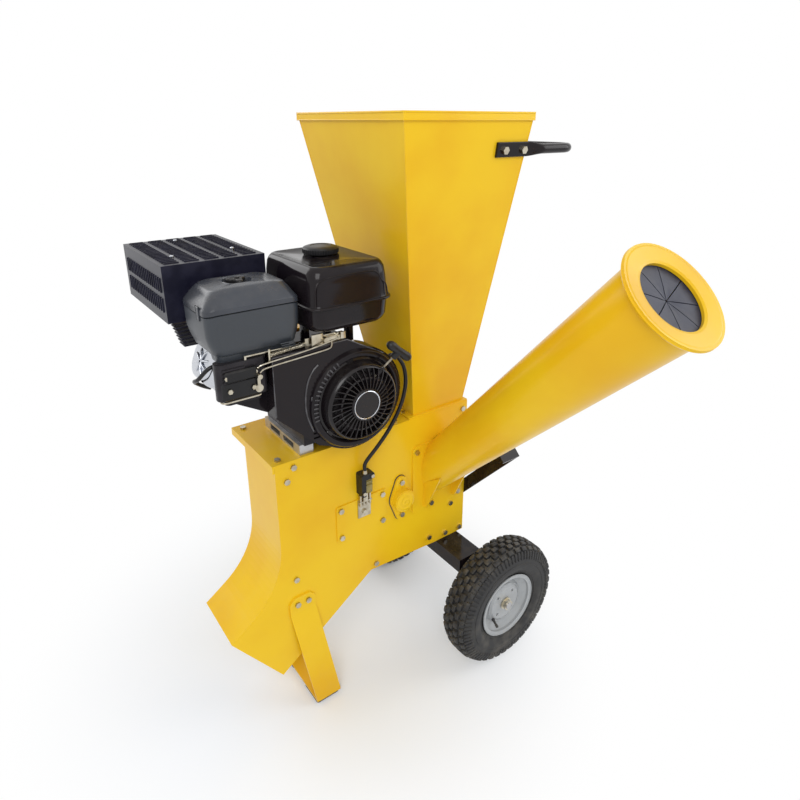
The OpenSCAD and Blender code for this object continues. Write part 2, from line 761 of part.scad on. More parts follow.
module hammers_2() {
  hammer_pair(1);
}

module hammers_3() {
  hammer_pair(2);
}

module hammers_4() {
  hammer_pair(3);
}

// Bed knife against which the knives cut, on the plate's inside below the cone's window.
module anvil() {
  anvil_t = disc_y - knife_t - plate_t - 3;
  color(steel) place() difference() {
    along_y(plate_t, anvil_t) translate([cone_x - 58, cone_z - cone_hole_rx / sin(cone_tilt) - 26])
      square([96, 24]);
    for (p = [flange_bolts[1]]) bar_y(p[0], p[1], plate_t - 1, 40, head_r + 1);
  }
}

boss_r = 30;
bearing_h = 24;

// Two-lug flange housing of a bearing, standing out from a side plate.
module bearing(y, out) {
  lug_r = 16;
  difference() {
    union() {
      along_y(out < 0 ? y - 8 : y, 8) hull() {
        translate([rotor_x, rotor_z]) circle(r = boss_r + 3);
        for (p = bearing_bolts()) translate(p) circle(r = lug_r);
      }
      bar_y(rotor_x, rotor_z, out < 0 ? y - bearing_h : y, bearing_h, boss_r);
    }
    bar_y(rotor_x, rotor_z, y - 40, 80, shaft_r + run_fit);
    bolt_holes(bearing_bolts(), y - 30, 60);
  }
}

module near_bearing() {
  color(yellow) place() bearing(0, -1);
}

module far_bearing() {
  color(black) place() bearing(body_w, 1);
}

/* Belt drive */

crank_z = deck_z + rail_h + crank_h;
groove = 5;

// Grooved pulley for two belts, turned about Y.
module pulley(x, z, r, bore) {
  translate([x, pulley_y + pulley_w, z]) rotate([90, 0, 0]) rotate_extrude() polygon([[bore, 0],
    [r, 0], [r, 3], [r - belt_t, groove + 1], [r - belt_t, groove + belt_w - 5],
    [r, belt_w + 4], [r, belt_w + 8], [r - belt_t, belt_w + groove + 6],
    [r - belt_t, 2 * belt_w + groove], [r, 2 * belt_w + 9], [r, pulley_w], [bore, pulley_w]]);
}

module rotor_pulley() {
  color(black) place() pulley(rotor_x, rotor_z, rotor_pulley_r, shaft_r);
}

module engine_pulley() {
  color(black) place() pulley(crank_x, crank_z, engine_pulley_r, crank_r);
}

// Outline round both pulleys, r0 about the rotor and r1 about the crankshaft.
module belt_outline(r0, r1) {
  hull() {
    translate([rotor_x, rotor_z]) circle(r = r0);
    translate([crank_x, crank_z]) circle(r = r1);
  }
}

belt_sink = 2;
belt_inset = 8;

module drive_belts() {
  color(black) place() for (i = [0, 1])
    along_y(pulley_y + belt_inset + i * (belt_w + 5), belt_w - 8) difference() {
      belt_outline(rotor_pulley_r + belt_sink, engine_pulley_r + belt_sink);
      belt_outline(rotor_pulley_r - belt_t + 1, engine_pulley_r - belt_t + 1);
    }
}

guard_wall = 2;
guard_y = deck_w + 3;
guard_depth = pulley_w + 24;
guard_r0 = rotor_pulley_r + 40;
guard_r1 = engine_pulley_r + 34;
standoff_points = [[rotor_x - 62, rotor_z - 62], [rotor_x + 72, rotor_z + 52], [rotor_x - 124, rotor_z + 61]];

// Pressed cover over the belts, open towards the housing and closed outside.
module belt_guard() {
  color(yellow) place() difference() {
    along_y(guard_y, guard_depth) belt_outline(guard_r0, guard_r1);
    along_y(guard_y - 1, guard_depth + 1 - guard_wall) belt_outline(guard_r0 - guard_wall, guard_r1 - guard_wall);
  }
}

// Spacer tubes that carry the guard on the far side plate.
module guard_standoffs() {
  color(steel) place() for (p = standoff_points)
    bar_y(p[0], p[1], body_w, guard_y + guard_depth - guard_wall - body_w, 8);
}

/* Engine */

rail_w = 34;
rail_y0 = 8;
rail_l = 178;
rail_bolts = [for (x = [crank_x - rail_gap / 2, crank_x + rail_gap / 2], y = [rail_y0 + 14, rail_y0 + rail_l - 14])
  [x, y]];
case_base_z = deck_z + rail_h;
case_x0 = crank_x - 106;
case_x1 = crank_x + 104;
case_y0 = 0;
case_y1 = 188;
case_top = 90;

// Cast rails between the deck and the crankcase, hollowed from the side.
module engine_rails() {
  color(steel) place() for (s = [-1, 1]) difference() {
    translate([crank_x + s * rail_gap / 2 - rail_w / 2, rail_y0, deck_z]) cube([rail_w, rail_l, rail_h]);
    for (y = [rail_y0 + 30, rail_y0 + 98])
      translate([crank_x + s * rail_gap / 2 - rail_w / 2 - 1, y, deck_z + 6]) cube([rail_w + 2, 50, rail_h - 12]);
    for (y = [rail_y0 + 14, rail_y0 + rail_l - 14])
      translate([crank_x + s * rail_gap / 2, y, deck_z - 1]) cylinder(r = bolt_hole_r, h = rail_h + 2);
  }
}

fin_t = 2.5;
fin_pitch = 8;
barrel_d0 = 112;
barrel_fins = 12;
head_d0 = barrel_d0 + barrel_fins * fin_pitch;
head_fins = 6;
head_len = head_fins * fin_pitch;
barrel_y = 22;
barrel_w = 136;
head_half = 52;
port_x = crank_x - 196;
port_y = guard_y0 + 24;
port_z = crank_z + 158;

// Moves to the cylinder's axis, with its bore along +X from the crankshaft.
module on_cylinder_axis() {
  translate([crank_x, 0, crank_z]) rotate([0, 180 + cylinder_lean, 0]) children();
}

// Crankcase, finned barrel and finned head, cast together.
module crankcase() {
  color("#3a3a3e") place() difference() {
    union() {
      along_y(case_y0, case_y1 - case_y0) polygon([[case_x0, case_base_z], [case_x1, case_base_z],
        [case_x1, crank_z + 40], [case_x1 - 40, crank_z + case_top], [case_x0 + 24, crank_z + case_top],
        [case_x0 - 6, crank_z + 60]]);
      bar_y(crank_x, crank_z, case_y1, 16, 46);
      on_cylinder_axis() translate([60, barrel_y + 14, -44]) cube([head_d0 + head_len - 60, barrel_w - 28, 88]);
      on_cylinder_axis() for (i = [0:barrel_fins - 1])
        translate([barrel_d0 + i * fin_pitch, barrel_y, -62]) cube([fin_t, barrel_w, 124]);
      on_cylinder_axis() for (i = [0:head_fins - 1])
        translate([head_d0 + i * fin_pitch, barrel_y - 8, -head_half]) cube([fin_t, barrel_w + 16, 2 * head_half]);
      on_cylinder_axis() translate([head_d0 + head_len, barrel_y, -head_half + 4])
        cube([8, barrel_w, 2 * head_half - 8]);
      translate([port_x, port_y, crank_z + 100]) cylinder(r = 22, h = port_z - crank_z - 100);
    }
    bar_y(crank_x, crank_z, case_y0 - 1, case_y1 - case_y0 + 20, crank_r + run_fit);
    for (p = rail_bolts) translate([p[0], p[1], case_base_z - 1]) cylinder(r = bolt_hole_r, h = 24);
  }
}

crank_y0 = -46;

module crankshaft() {
  color(steel) place() bar_y(crank_x, crank_z, crank_y0, shaft_end - crank_y0, crank_r);
}

// Flywheel with fan blades, inside the fan housing.
module flywheel() {
  blades = 16;
  color("#55565a") place() difference() {
    union() {
      bar_y(crank_x, crank_z, -20, 14, fan_r - 22);
      bar_y(crank_x, crank_z, -34, 16, 34);
      for (i = [0:blades - 1]) translate([crank_x, -38, crank_z]) rotate([0, i * 360 / blades, 0])
        translate([50, 0, -2]) cube([fan_r - 76, 20, 4]);
    }
    bar_y(crank_x, crank_z, -60, 70, crank_r);
  }
}

cover_d0 = head_d0 + head_len + 8;

// Bright pressed cover over the valves, domed with a flat face and a flange.
module valve_cover() {
  color("#d9dadd") place() on_cylinder_axis() translate([cover_d0, barrel_y + barrel_w / 2, 0])
    rotate([0, 90, 0]) union() {
      linear_extrude(height = 5) translate([-head_half + 2, -66]) rounded(2 * head_half - 4, 132, 26);
      hull() {
        translate([0, 0, 5]) linear_extrude(height = 1) translate([-44, -60]) rounded(88, 120, 26, $fn = 32);
        translate([0, 0, 34]) linear_extrude(height = 1) translate([-32, -46]) rounded(64, 92, 26, $fn = 32);
      }
      translate([0, 0, 35]) linear_extrude(height = 6) translate([-25, -38]) rounded(50, 76, 22);
    }
}

blower_y = -50;
blower_t = 2.5;
blower_depth = 50;
duct_top = 140;
duct_depth = 11;
duct_x = crank_x - 189;
duct_end_x = crank_x - 262;

// Outline of the fan housing: the fan's circle and the duct towards the cylinder head.
module blower_outline(d) {
  translate([crank_x, crank_z]) circle(r = fan_r - d);
  polygon([[crank_x - 10, crank_z - fan_r + d], [crank_x - 96, crank_z - 84 + d], [duct_x + d, crank_z + 6 + d],
    [duct_x + d, crank_z + duct_top - d], [crank_x - 20, crank_z + duct_top - d], [crank_x + 72, crank_z + 90 - d]]);
}

// Outline of the shallow plate that carries the duct on past the cylinder head.
module duct_outline() {
  polygon([[duct_x, crank_z + 6], [duct_x, crank_z + duct_top], [duct_end_x, crank_z + duct_top],
    [duct_end_x, crank_z + 48]]);
}

module blower_housing() {
  color(black) place() difference() {
    union() {
      along_y(blower_y, blower_depth) blower_outline(0);
      along_y(-duct_depth, duct_depth) duct_outline();
    }
    along_y(blower_y + blower_t, blower_depth) blower_outline(blower_t);
    bar_y(crank_x, crank_z, blower_y - 1, 10, recoil_r - 12);
    for (i = [0:5]) translate([crank_x - 108, blower_y - 1, crank_z - 66 + i * 11]) cube([22, 6, 4]);
  }
}

recoil_depth = 40;
rope_angle = 50;
rope_out = 20;
rope_r = 2.5;
louvre_count = 24;

// Pull-starter cover: a dished pressing with radial slots and a rope boss at its edge.
module recoil_cover() {
  color(black) place() difference() {
    union() {
      translate([crank_x, blower_y, crank_z]) rotate([90, 0, 0]) rotate_extrude() polygon([
        [recoil_r + 8, seat_gap], [recoil_r + 8, 3], [recoil_r, 6], [recoil_r - 4, recoil_depth - 12],
        [recoil_r - 18, recoil_depth - 2], [34, recoil_depth + 2], [32, recoil_depth - 2], [0, recoil_depth - 2],
        [0, recoil_depth - 5], [34, recoil_depth - 5], [recoil_r - 20, recoil_depth - 6],
        [recoil_r - 7, recoil_depth - 14], [recoil_r - 3, 5], [recoil_r - 3, seat_gap]]);
      rope_line() translate([0, 0, recoil_r - 10]) cylinder(r = 9, h = 18);
    }
    for (i = [0:louvre_count - 1]) translate([crank_x, blower_y, crank_z]) rotate([0, i * 360 / louvre_count, 0])
      translate([42, -recoil_depth - 6, -1.8]) cube([recoil_r - 64, 16, 3.6]);
    rope_line() translate([0, 0, recoil_r - 40]) cylinder(r = rope_r + 1, h = 60);
  }
}

// Moves to the line along which the rope is pulled, from the starter's axis.
module rope_line() {
  translate([crank_x, blower_y + 8, crank_z]) rotate([rope_out, 90 - rope_angle, 0]) children();
}

grip_d0 = recoil_r + 34;

// Moulded T grip, seated across the rope.
module starter_grip() {
  color(black) place() rope_line() translate([0, 0, grip_d0]) union() {
    cylinder(r1 = 8, r2 = 10, h = 16);
    hull() for (x = [-30, 30]) translate([x, 0, 20]) sphere(r = 10, $fn = 32);
  }
}

module starter_rope() {
  color("#2c2c2e") place() rope_line() translate([0, 0, recoil_r - 30])
    cylinder(r = rope_r, h = grip_d0 - recoil_r + 30 - seat_gap);
}

tank_x0 = crank_x - 110;
tank_y0 = -78;
tank_z0 = deck_z + rail_h + 276;
tank_seam = 52;

// The tank's lower and upper pressing, drawn in by d on every side.
module tank_shells(d) {
  hull() {
    soft_block(tank_x0 + 10 + d, tank_y0 + 10 + d, tank_z0 + d, tank_l - 20 - 2 * d, tank_w - 20 - 2 * d, 1, 20,
      $fn = 32);
    soft_block(tank_x0 + 2 + d, tank_y0 + 2 + d, tank_z0 + 18, tank_l - 4 - 2 * d, tank_w - 4 - 2 * d,
      tank_seam - 14, 26, $fn = 32);
  }
  hull() {
    soft_block(tank_x0 + 2 + d, tank_y0 + 2 + d, tank_z0 + tank_seam, tank_l - 4 - 2 * d, tank_w - 4 - 2 * d, 48,
      26, $fn = 32);
    soft_block(tank_x0 + 16 + d, tank_y0 + 16 + d, tank_z0 + tank_h - 1 - d, tank_l - 32 - 2 * d,
      tank_w - 32 - 2 * d, 1, 20, $fn = 32);
  }
}

// Pressed tank: two shells with rounded edges on a seam flange, a filler neck and four feet.
module fuel_tank() {
  color(black) place() difference() {
    union() {
      tank_shells(0);
      soft_block(tank_x0 - 5, tank_y0 - 5, tank_z0 + tank_seam, tank_l + 10, tank_w + 10, 4, 30);
      translate([cap_x, cap_y, tank_z0 + tank_h - 1]) cylinder(r = neck_r, h = neck_h + 1);
      for (x = [tank_x0 + 40, tank_x0 + tank_l - 40], y = [30, 130])
        translate([x - 7, y, crank_z + case_top]) cube([14, 20, tank_z0 - crank_z - case_top + 1]);
    }
    tank_shells(tank_t);
    translate([cap_x, cap_y, tank_z0 + tank_h - 10]) cylinder(r = neck_r - 3, h = neck_h + 12);
  }
}

tank_t = 2.5;
neck_r = 22;
neck_h = 7;
cap_x = tank_x0 + 100;
cap_y = 62;
cap_r = 34;
cap_h = 13;

module fuel_cap() {
  color(black) place() translate([cap_x, cap_y, tank_z0 + tank_h + seat_gap]) difference() {
    union() {
      cylinder(r = cap_r, h = cap_h);
      for (i = [0:11]) rotate([0, 0, i * 30]) translate([cap_r - 2, 0, 0]) cylinder(r = 5, h = cap_h, $fn = 24);
      translate([0, 0, cap_h]) cylinder(r1 = cap_r - 4, r2 = cap_r - 12, h = 3);
    }
    translate([0, 0, -1]) cylinder(r = neck_r + seat_gap, h = neck_h + 1);
  }
}

cleaner_x0 = crank_x - 306;
cleaner_y0 = -45;
cleaner_z0 = deck_z + rail_h + 262;
cleaner_h = 128;

// Moulded air cleaner: an upright lower part and a roof that slopes in on every side.
module air_cleaner() {
  color("#34373b") place() difference() {
    union() {
      hull() {
        soft_block(cleaner_x0 + 16, cleaner_y0 + 8, cleaner_z0, cleaner_l - 24, cleaner_w - 16, 1, 16, $fn = 32);
        soft_block(cleaner_x0, cleaner_y0, cleaner_z0 + 40, cleaner_l, cleaner_w, cleaner_h - 78, 18, $fn = 32);
      }
      hull() {
        soft_block(cleaner_x0, cleaner_y0, cleaner_z0 + cleaner_h - 38, cleaner_l, cleaner_w, 1, 18, $fn = 32);
        soft_block(cleaner_x0 + 20, cleaner_y0 + 26, cleaner_z0 + cleaner_h - 4, cleaner_l - 34, cleaner_w - 44,
          4, 18, $fn = 32);
      }
      soft_block(cleaner_x0 + 22, cleaner_y0 + 14, cleaner_z0 - 14, cleaner_l - 36, 46, 14, 12);
    }
    translate([knob_x, knob_y, cleaner_z0 + cleaner_h - 12]) cylinder(r = 27, h = 20);
  }
}

knob_x = cleaner_x0 + 92;
knob_y = cleaner_y0 + 72;

// Three-lobed wing knob in the dished top of the air cleaner.
module air_knob() {
  color(black) place() translate([knob_x, knob_y, cleaner_z0 + cleaner_h - 12 + seat_gap]) union() {
    cylinder(r = 11, h = 12);
    for (i = [0:2]) rotate([0, 0, i * 120 + 30]) union() {
      translate([0, -4, 4]) cube([18, 8, 8]);
      translate([18, 0, 4]) cylinder(r = 6, h = 8, $fn = 24);
    }
  }
}

carb_x0 = crank_x - 310;
carb_z0 = crank_z + 56;

// Carburettor with its lower cover, in front of the cylinder head.
module carburettor() {
  carb_top = cleaner_z0 - 14 - carb_z0;
  color("#2a2b2e") place() union() {
    soft_block(carb_x0 + 14, cleaner_y0 + 4, carb_z0 + 12, 102, 28, carb_top - 12, 12);
    soft_block(carb_x0 + 28, cleaner_y0 + 8, carb_z0, 76, 22, 12, 10);
    for (i = [0:4]) translate([carb_x0 + 24, cleaner_y0 + 1, carb_z0 + carb_top - 14 - i * 8]) cube([44, 5, 4]);
  }
}

bracket_x = crank_x - 112;
bracket_y = blower_y + 8;
bracket_z = crank_z + duct_top;
bracket_l = 88;
lever_x = bracket_x + 76;
lever_z = bracket_z + 10;
lever_t = 3;
lever_l = 34;
pivot_r = 3;
rod_z = bracket_z + 8;

// Bracket on the fan housing, with the throttle's pivot and the rod to the carburettor.
module control_linkage() {
  color(steel) place() union() {
    translate([bracket_x, bracket_y, bracket_z]) cube([bracket_l, 26, 3]);
    translate([bracket_x, bracket_y, bracket_z]) cube([bracket_l, 3, 18]);
    translate([bracket_x, bracket_y, bracket_z]) cube([3, 10, 14]);
    translate([carb_x0 + 70, bracket_y + 4, rod_z]) rotate([0, 90, 0]) cylinder(r = 2, h = bracket_x - carb_x0 - 69);
    translate([carb_x0 + 70, bracket_y + 2, cleaner_z0 - 14]) cube([4, 5, rod_z - cleaner_z0 + 16]);
    bar_y(lever_x, lever_z, bracket_y - lever_t - 3, lever_t + 4, pivot_r);
  }
}

// Throttle lever turning on the bracket's pivot, with a round finger knob.
module throttle_lever() {
  color(steel) place() difference() {
    union() {
      bar_y(lever_x, lever_z, bracket_y - lever_t - seat_gap, lever_t, 8);
      translate([lever_x - lever_l, bracket_y - lever_t - seat_gap, lever_z - 4]) cube([lever_l, lever_t, 8]);
      bar_y(lever_x - lever_l, lever_z, bracket_y - 14, 14 - seat_gap, 6);
    }
    bar_y(lever_x, lever_z, bracket_y - 10, 12, pivot_r + run_fit);
  }
}

choke_x = carb_x0 + 92;
choke_z = carb_z0 + 26;

module choke_lever() {
  color("#b9babc") place() union() {
    bar_y(choke_x, choke_z, cleaner_y0 - 4, 8 - seat_gap, 8);
    translate([choke_x - 3, cleaner_y0 - 4, choke_z]) cube([6, 3, 26]);
    bar_y(choke_x, choke_z + 26, cleaner_y0 - 12, 11, 5);
  }
}

guard_z0 = deck_z + rail_h + 299;

tail_r = 14;
tail_x = guard_x0 + 60;
tail_z = guard_z0 + 50;

drum_t = 2;

// The silencer's drum, drawn in by d on every side.
module drum(d) {
  soft_block(guard_x0 + 22 + d, guard_y0 + 22 + d, guard_z0 + 14 + d, guard_l - 44 - 2 * d, guard_w - 60 - 2 * d,
    guard_h - 32 - 2 * d, 34 - d);
}

// Silencer: an empty rounded drum on its pipe from the cylinder head, with an open tailpipe.
module muffler() {
  color("#4a4643") place() difference() {
    union() {
      drum(0);
      translate([port_x, port_y + 20, port_z]) cylinder(r = 17, h = guard_z0 + 15 - port_z);
      translate([port_x - 24, port_y - 18, port_z]) cube([48, 56, 6]);
      translate([tail_x, guard_y0 + guard_w - 42, tail_z]) rotate([-90, 0, 0]) cylinder(r = tail_r, h = 42);
      for (x = [guard_x0 + 60, guard_x0 + guard_l - 60], y = [guard_y0 + 60, guard_y0 + guard_w - 80])
        translate([x, y, guard_z0 + guard_h - 19]) cylinder(r = 7, h = 19 - guard_wall_t);
    }
    drum(drum_t);
    translate([port_x, port_y + 20, port_z + 6]) cylinder(r = 17 - drum_t, h = guard_z0 + 16 - port_z);
    translate([tail_x, guard_y0 + guard_w - 50, tail_z]) rotate([-90, 0, 0]) cylinder(r = tail_r - drum_t, h = 60);
  }
}

slot_pitch = 14;
guard_wall_t = 1.5;

// Perforated box over the silencer, with a hanging apron on two sides.
module muffler_guard() {
  t = guard_wall_t;
  rows = floor((guard_w - 40) / slot_pitch);
  color(black) place() difference() {
    translate([guard_x0, guard_y0, guard_z0]) cube([guard_l, guard_w, guard_h]);
    translate([guard_x0 + t, guard_y0 + t, guard_z0 - 1]) cube([guard_l - 2 * t, guard_w - 2 * t, guard_h + 1 - t]);
    for (i = [0:rows - 1]) for (j = [0:4])
      translate([guard_x0 + 10 + j * 40, guard_y0 + 20 + i * slot_pitch, guard_z0 + guard_h - 5]) cube([30, 6, 10]);
    for (i = [0:rows - 1]) for (j = [0:1])
      translate([guard_x0 - 1, guard_y0 + 20 + i * slot_pitch, guard_z0 + 20 + j * 40]) cube([6, 6, 30]);
    bar_y(tail_x, tail_z, guard_y0 + guard_w - 10, 20, tail_r + 2);
  }
}

/* Engine stop */

switch_x = 205;
switch_z = 562;
switch_w = 36;
switch_h = 60;
switch_d = 26;
switch_bolts = [[switch_x + 6, switch_z + 10], [switch_x + switch_w - 6, switch_z + switch_h - 8]];
key_bolt = [switch_x + switch_w / 2, cover_z + cover_h - 38];

// Interlock switch: a black body with a bright contact block, on the side plate.
module stop_switch() {
  color(black) place() difference() {
    along_y(-switch_d, switch_d) translate([switch_x, switch_z]) rounded(switch_w, switch_h, 4);
    translate([switch_x + 12, -switch_d - 1, switch_z - 1]) cube([switch_w, 15, switch_h - 14]);
    translate([switch_x + 10, -14, switch_z - 1]) cube([16, 5, 14]);
    bolt_holes(switch_bolts, -switch_d, switch_d, screw_hole_r);
    translate([switch_x + 14, -18, switch_z + switch_h - 8]) cylinder(r = 4, h = 9);
  }
}

// Ribbed key bracket on the access cover, whose tongue enters the switch.
module switch_key() {
  color(steel) place() difference() {
    union() {
      translate([switch_x, -cover_t - 3, cover_z + cover_h - 52]) cube([switch_w, 3, 50]);
      for (i = [0:3]) translate([switch_x + 2 + i * 9, -cover_t - 9.5, cover_z + cover_h - 16]) cube([4, 7.5, 30]);
      translate([switch_x, -cover_t - 10, cover_z + cover_h - 6]) cube([switch_w, 8, 3]);
      translate([switch_x + 12, -cover_t - 10.5, cover_z + cover_h - 5]) cube([12, 3, 29]);
    }
    bolt_holes([key_bolt], -cover_t - 12, 12);
  }
}

// Route of the stop cable from the fan housing round the starter and down to the switch.
cable_r = 4;
cable_points = [[281.5, -26, 904.5], [290, -26, 910], [303, -30, 906], [317, -38, 882], [321, -42, 846],
  [314, -44, 810], [298, -44, 772], [273, -40, 730], [246, -34, 694], [226, -24, 664], [219, -18, 646],
  [219, -18, 631], [219, -18, 614]];

function unit(v) = v / norm(v);

// Smooth point and direction on the route between point i and the next.
function route(i, t) =
  let (n = len(cable_points) - 1,
       p0 = cable_points[max(i - 1, 0)], p1 = cable_points[i],
       p2 = cable_points[i + 1], p3 = cable_points[min(i + 2, n)])
  0.5 * (2 * p1 + t * (p2 - p0) + t * t * (2 * p0 - 5 * p1 + 4 * p2 - p3)
    + t * t * t * (3 * p1 - p0 - 3 * p2 + p3));

cable_steps = 4;
cable_line = concat([for (i = [0:len(cable_points) - 2], k = [0:cable_steps - 1]) route(i, k / cable_steps)],
  [cable_points[len(cable_points) - 1]]);

// Side directions stay square to the line and near the X axis, so the tube never twists.
function side_at(i) =
  let (a = cable_line[max(i - 1, 0)], b = cable_line[min(i + 1, len(cable_line) - 1)], d = unit(b - a),
       x = [1, 0, 0] - (d * [1, 0, 0]) * d)
  [unit(x), cross(d, unit(x))];

module stop_cable() {
  sides = 8;
  rings = len(cable_line);
  points = [for (i = [0:rings - 1]) let (s = side_at(i)) for (k = [0:sides - 1])
    cable_line[i] + cable_r * (cos(k * 360 / sides) * s[0] + sin(k * 360 / sides) * s[1])];
  walls = [for (i = [0:rings - 2], k = [0:sides - 1]) let (m = (k + 1) % sides)
    [i * sides + k, (i + 1) * sides + k, (i + 1) * sides + m, i * sides + m]];
  color(black) place() polyhedron(points = points, faces = concat(
    [[for (k = [0:sides - 1]) k]], walls, [[for (k = [sides - 1:-1:0]) (rings - 1) * sides + k]]));
}

/* Fasteners */

// A bolt along Y whose head lies on the plane y, with a nut past the thickness t.
module bolt_y(p, y, t) {
  hex_y(p[0], p[1], y - head_h, head_h, head_r);
  bar_y(p[0], p[1], y, t + nut_h + 2, bolt_r);
  hex_y(p[0], p[1], y + t, nut_h, head_r);
}

// A small screw along Y with a round head.
module screw_y(p, y, t) {
  bar_y(p[0], p[1], y - 3, 3, screw_head_r);
  bar_y(p[0], p[1], y, t, screw_r);
}

// A bolt standing on the plane z, with a nut under the thickness t.
module bolt_z(p, z, t) {
  translate([p[0], p[1], z]) cylinder(r = head_r, h = head_h, $fn = 6);
  translate([p[0], p[1], z - t - nut_h - 2]) cylinder(r = bolt_r, h = t + nut_h + 3);
  translate([p[0], p[1], z - t - nut_h]) cylinder(r = head_r, h = nut_h, $fn = 6);
}

// A bolt from under the deck up into the crankcase.
module rail_bolt(p) {
  translate([p[0], p[1], plate_top_z - head_h]) cylinder(r = head_r, h = head_h, $fn = 6);
  translate([p[0], p[1], plate_top_z - 1]) cylinder(r = bolt_r, h = deck_t + rail_h + 18);
}

// A bolt along X through the brace and the wheel-end panel.
module brace_bolt(p) {
  translate([body_l + brace_t, p[0], p[1]]) rotate([0, 90, 0]) cylinder(r = head_r, h = head_h, $fn = 6);
  translate([body_l - panel_t - nut_h - 2, p[0], p[1]]) rotate([0, 90, 0])
    cylinder(r = bolt_r, h = brace_t + panel_t + nut_h + 3);
  translate([body_l - panel_t - nut_h, p[0], p[1]]) rotate([0, 90, 0]) cylinder(r = head_r, h = nut_h, $fn = 6);
}

// A bolt through the handle's tab and the hopper's wall.
module handle_bolt(side, x) {
  on_face(side) mirror([0, side < 0 ? 0 : 1, 0]) union() {
    hex_y(x, 0, -tab_t - 6, 6, 9);
    bar_y(x, 0, -tab_t - 1, tab_t + hopper_t + nut_h + 4, bolt_r);
    hex_y(x, 0, hopper_t + 2 * seat_gap, nut_h, head_r);
  }
}

// Nut and washer on the end of a stub axle.
module wheel_nut(y, inward) {
  translate([axle_x, y, axle_z]) rotate([inward > 0 ? -90 : 90, 0, 0]) difference() {
    union() {
      cylinder(r = 15, h = nut_l, $fn = 6);
      translate([0, 0, nut_l - 0.5]) cylinder(r = 17, h = wheel_washer + 0.5);
    }
    translate([0, 0, -1]) cylinder(r = axle_r, h = 20);
  }
}

module fasteners() {
  color("#8f8a78") place() union() {
    for (p = near_bolts) bolt_y(p, 0, plate_t);
    for (p = cover_bolts) bolt_y(p, -cover_t, cover_t + plate_t);
    for (p = flange_bolts) bolt_y(p, -flange_t, flange_t + plate_t);
    for (p = bearing_bolts()) bolt_y(p, -8, 8 + plate_t);
    for (p = bearing_bolts()) translate([0, body_w, 0]) mirror([0, 1, 0]) bolt_y(p, -8, 8 + plate_t);
    for (p = leg_bolts) bolt_y(p, -leg_t, leg_t + plate_t);
    for (p = leg_bolts) translate([0, body_w, 0]) mirror([0, 1, 0]) bolt_y(p, -leg_t, leg_t + plate_t);
    bolt_y(key_bolt, -cover_t - 3, cover_t + 3);
    for (p = switch_bolts) screw_y(p, -switch_d, switch_d + plate_t);
    for (p = deck_bolts) bolt_z(p, deck_z, deck_t);
    for (p = rail_bolts) rail_bolt(p);
    for (p = brace_bolts) brace_bolt(p);
    for (p = hopper_bolts) translate([p[0], p[1], plate_top_z + seat_gap]) union() {
      cylinder(r = screw_r, h = deck_t + hopper_flange_t);
      translate([0, 0, deck_t + hopper_flange_t - seat_gap]) cylinder(r = 5.8, h = 4, $fn = 6);
    }
    for (side = [-1, 1], x = handle_bolt_x) handle_bolt(side, x);
    wheel_nut(near_wheel_y - stub_out + 2, 1);
    wheel_nut(far_wheel_y + stub_out - 2, -1);
  }
}

near_side_plate();
far_side_plate();
discharge_panel();
underside_panel();
rear_panel();
deck();
access_cover();
hopper();
push_handle();
feed_cone();
mouth_ring();
rubber_curtain();
cone_brace();
leg_frame();
foot_pads();
axle_beam();
stub_axles();
near_tyre();
far_tyre();
near_rim();
far_rim();
rotor_shaft();
rotor_disc();
chipper_knives();
hammer_pins();
hammers_1();
hammers_2();
hammers_3();
hammers_4();
anvil();
near_bearing();
far_bearing();
rotor_pulley();
engine_pulley();
drive_belts();
belt_guard();
guard_standoffs();
engine_rails();
crankcase();
crankshaft();
flywheel();
valve_cover();
blower_housing();
recoil_cover();
starter_grip();
starter_rope();
fuel_tank();
fuel_cap();
air_cleaner();
air_knob();
carburettor();
control_linkage();
throttle_lever();
choke_lever();
muffler();
muffler_guard();
stop_switch();
switch_key();
stop_cable();
fasteners();
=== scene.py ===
import math

import bpy
import numpy as np
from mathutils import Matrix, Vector


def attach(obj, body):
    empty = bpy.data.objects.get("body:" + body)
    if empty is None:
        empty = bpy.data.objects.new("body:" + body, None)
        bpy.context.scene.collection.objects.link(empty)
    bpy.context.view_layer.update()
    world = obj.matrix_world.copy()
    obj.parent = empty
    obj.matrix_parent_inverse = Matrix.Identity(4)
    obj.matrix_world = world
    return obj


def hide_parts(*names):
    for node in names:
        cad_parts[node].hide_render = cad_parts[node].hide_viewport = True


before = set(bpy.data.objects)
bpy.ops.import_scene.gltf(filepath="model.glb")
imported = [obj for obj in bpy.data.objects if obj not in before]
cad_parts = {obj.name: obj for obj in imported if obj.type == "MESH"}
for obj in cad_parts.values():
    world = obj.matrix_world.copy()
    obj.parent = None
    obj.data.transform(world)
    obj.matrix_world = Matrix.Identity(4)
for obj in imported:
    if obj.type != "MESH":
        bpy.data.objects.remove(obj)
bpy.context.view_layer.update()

# Camera: stands ahead of the chute's corner at head height and looks down on the machine.
# Place and lens come from straight edges, ellipses and silhouettes of the photograph.
camera_data = bpy.data.cameras.new("camera")
camera_data.sensor_width = 36.0
camera_data.lens = 27.40
camera_data.shift_x = -0.00175
camera_data.shift_y = -0.0723
camera_data.clip_end = 60.0
camera = bpy.data.objects.new("camera", camera_data)
camera.location = (-0.7773, -0.9422, 1.4101)
camera.rotation_euler = (math.radians(69.99), 0.0, math.radians(-36.60))
bpy.context.scene.collection.objects.link(camera)
bpy.context.scene.camera = camera

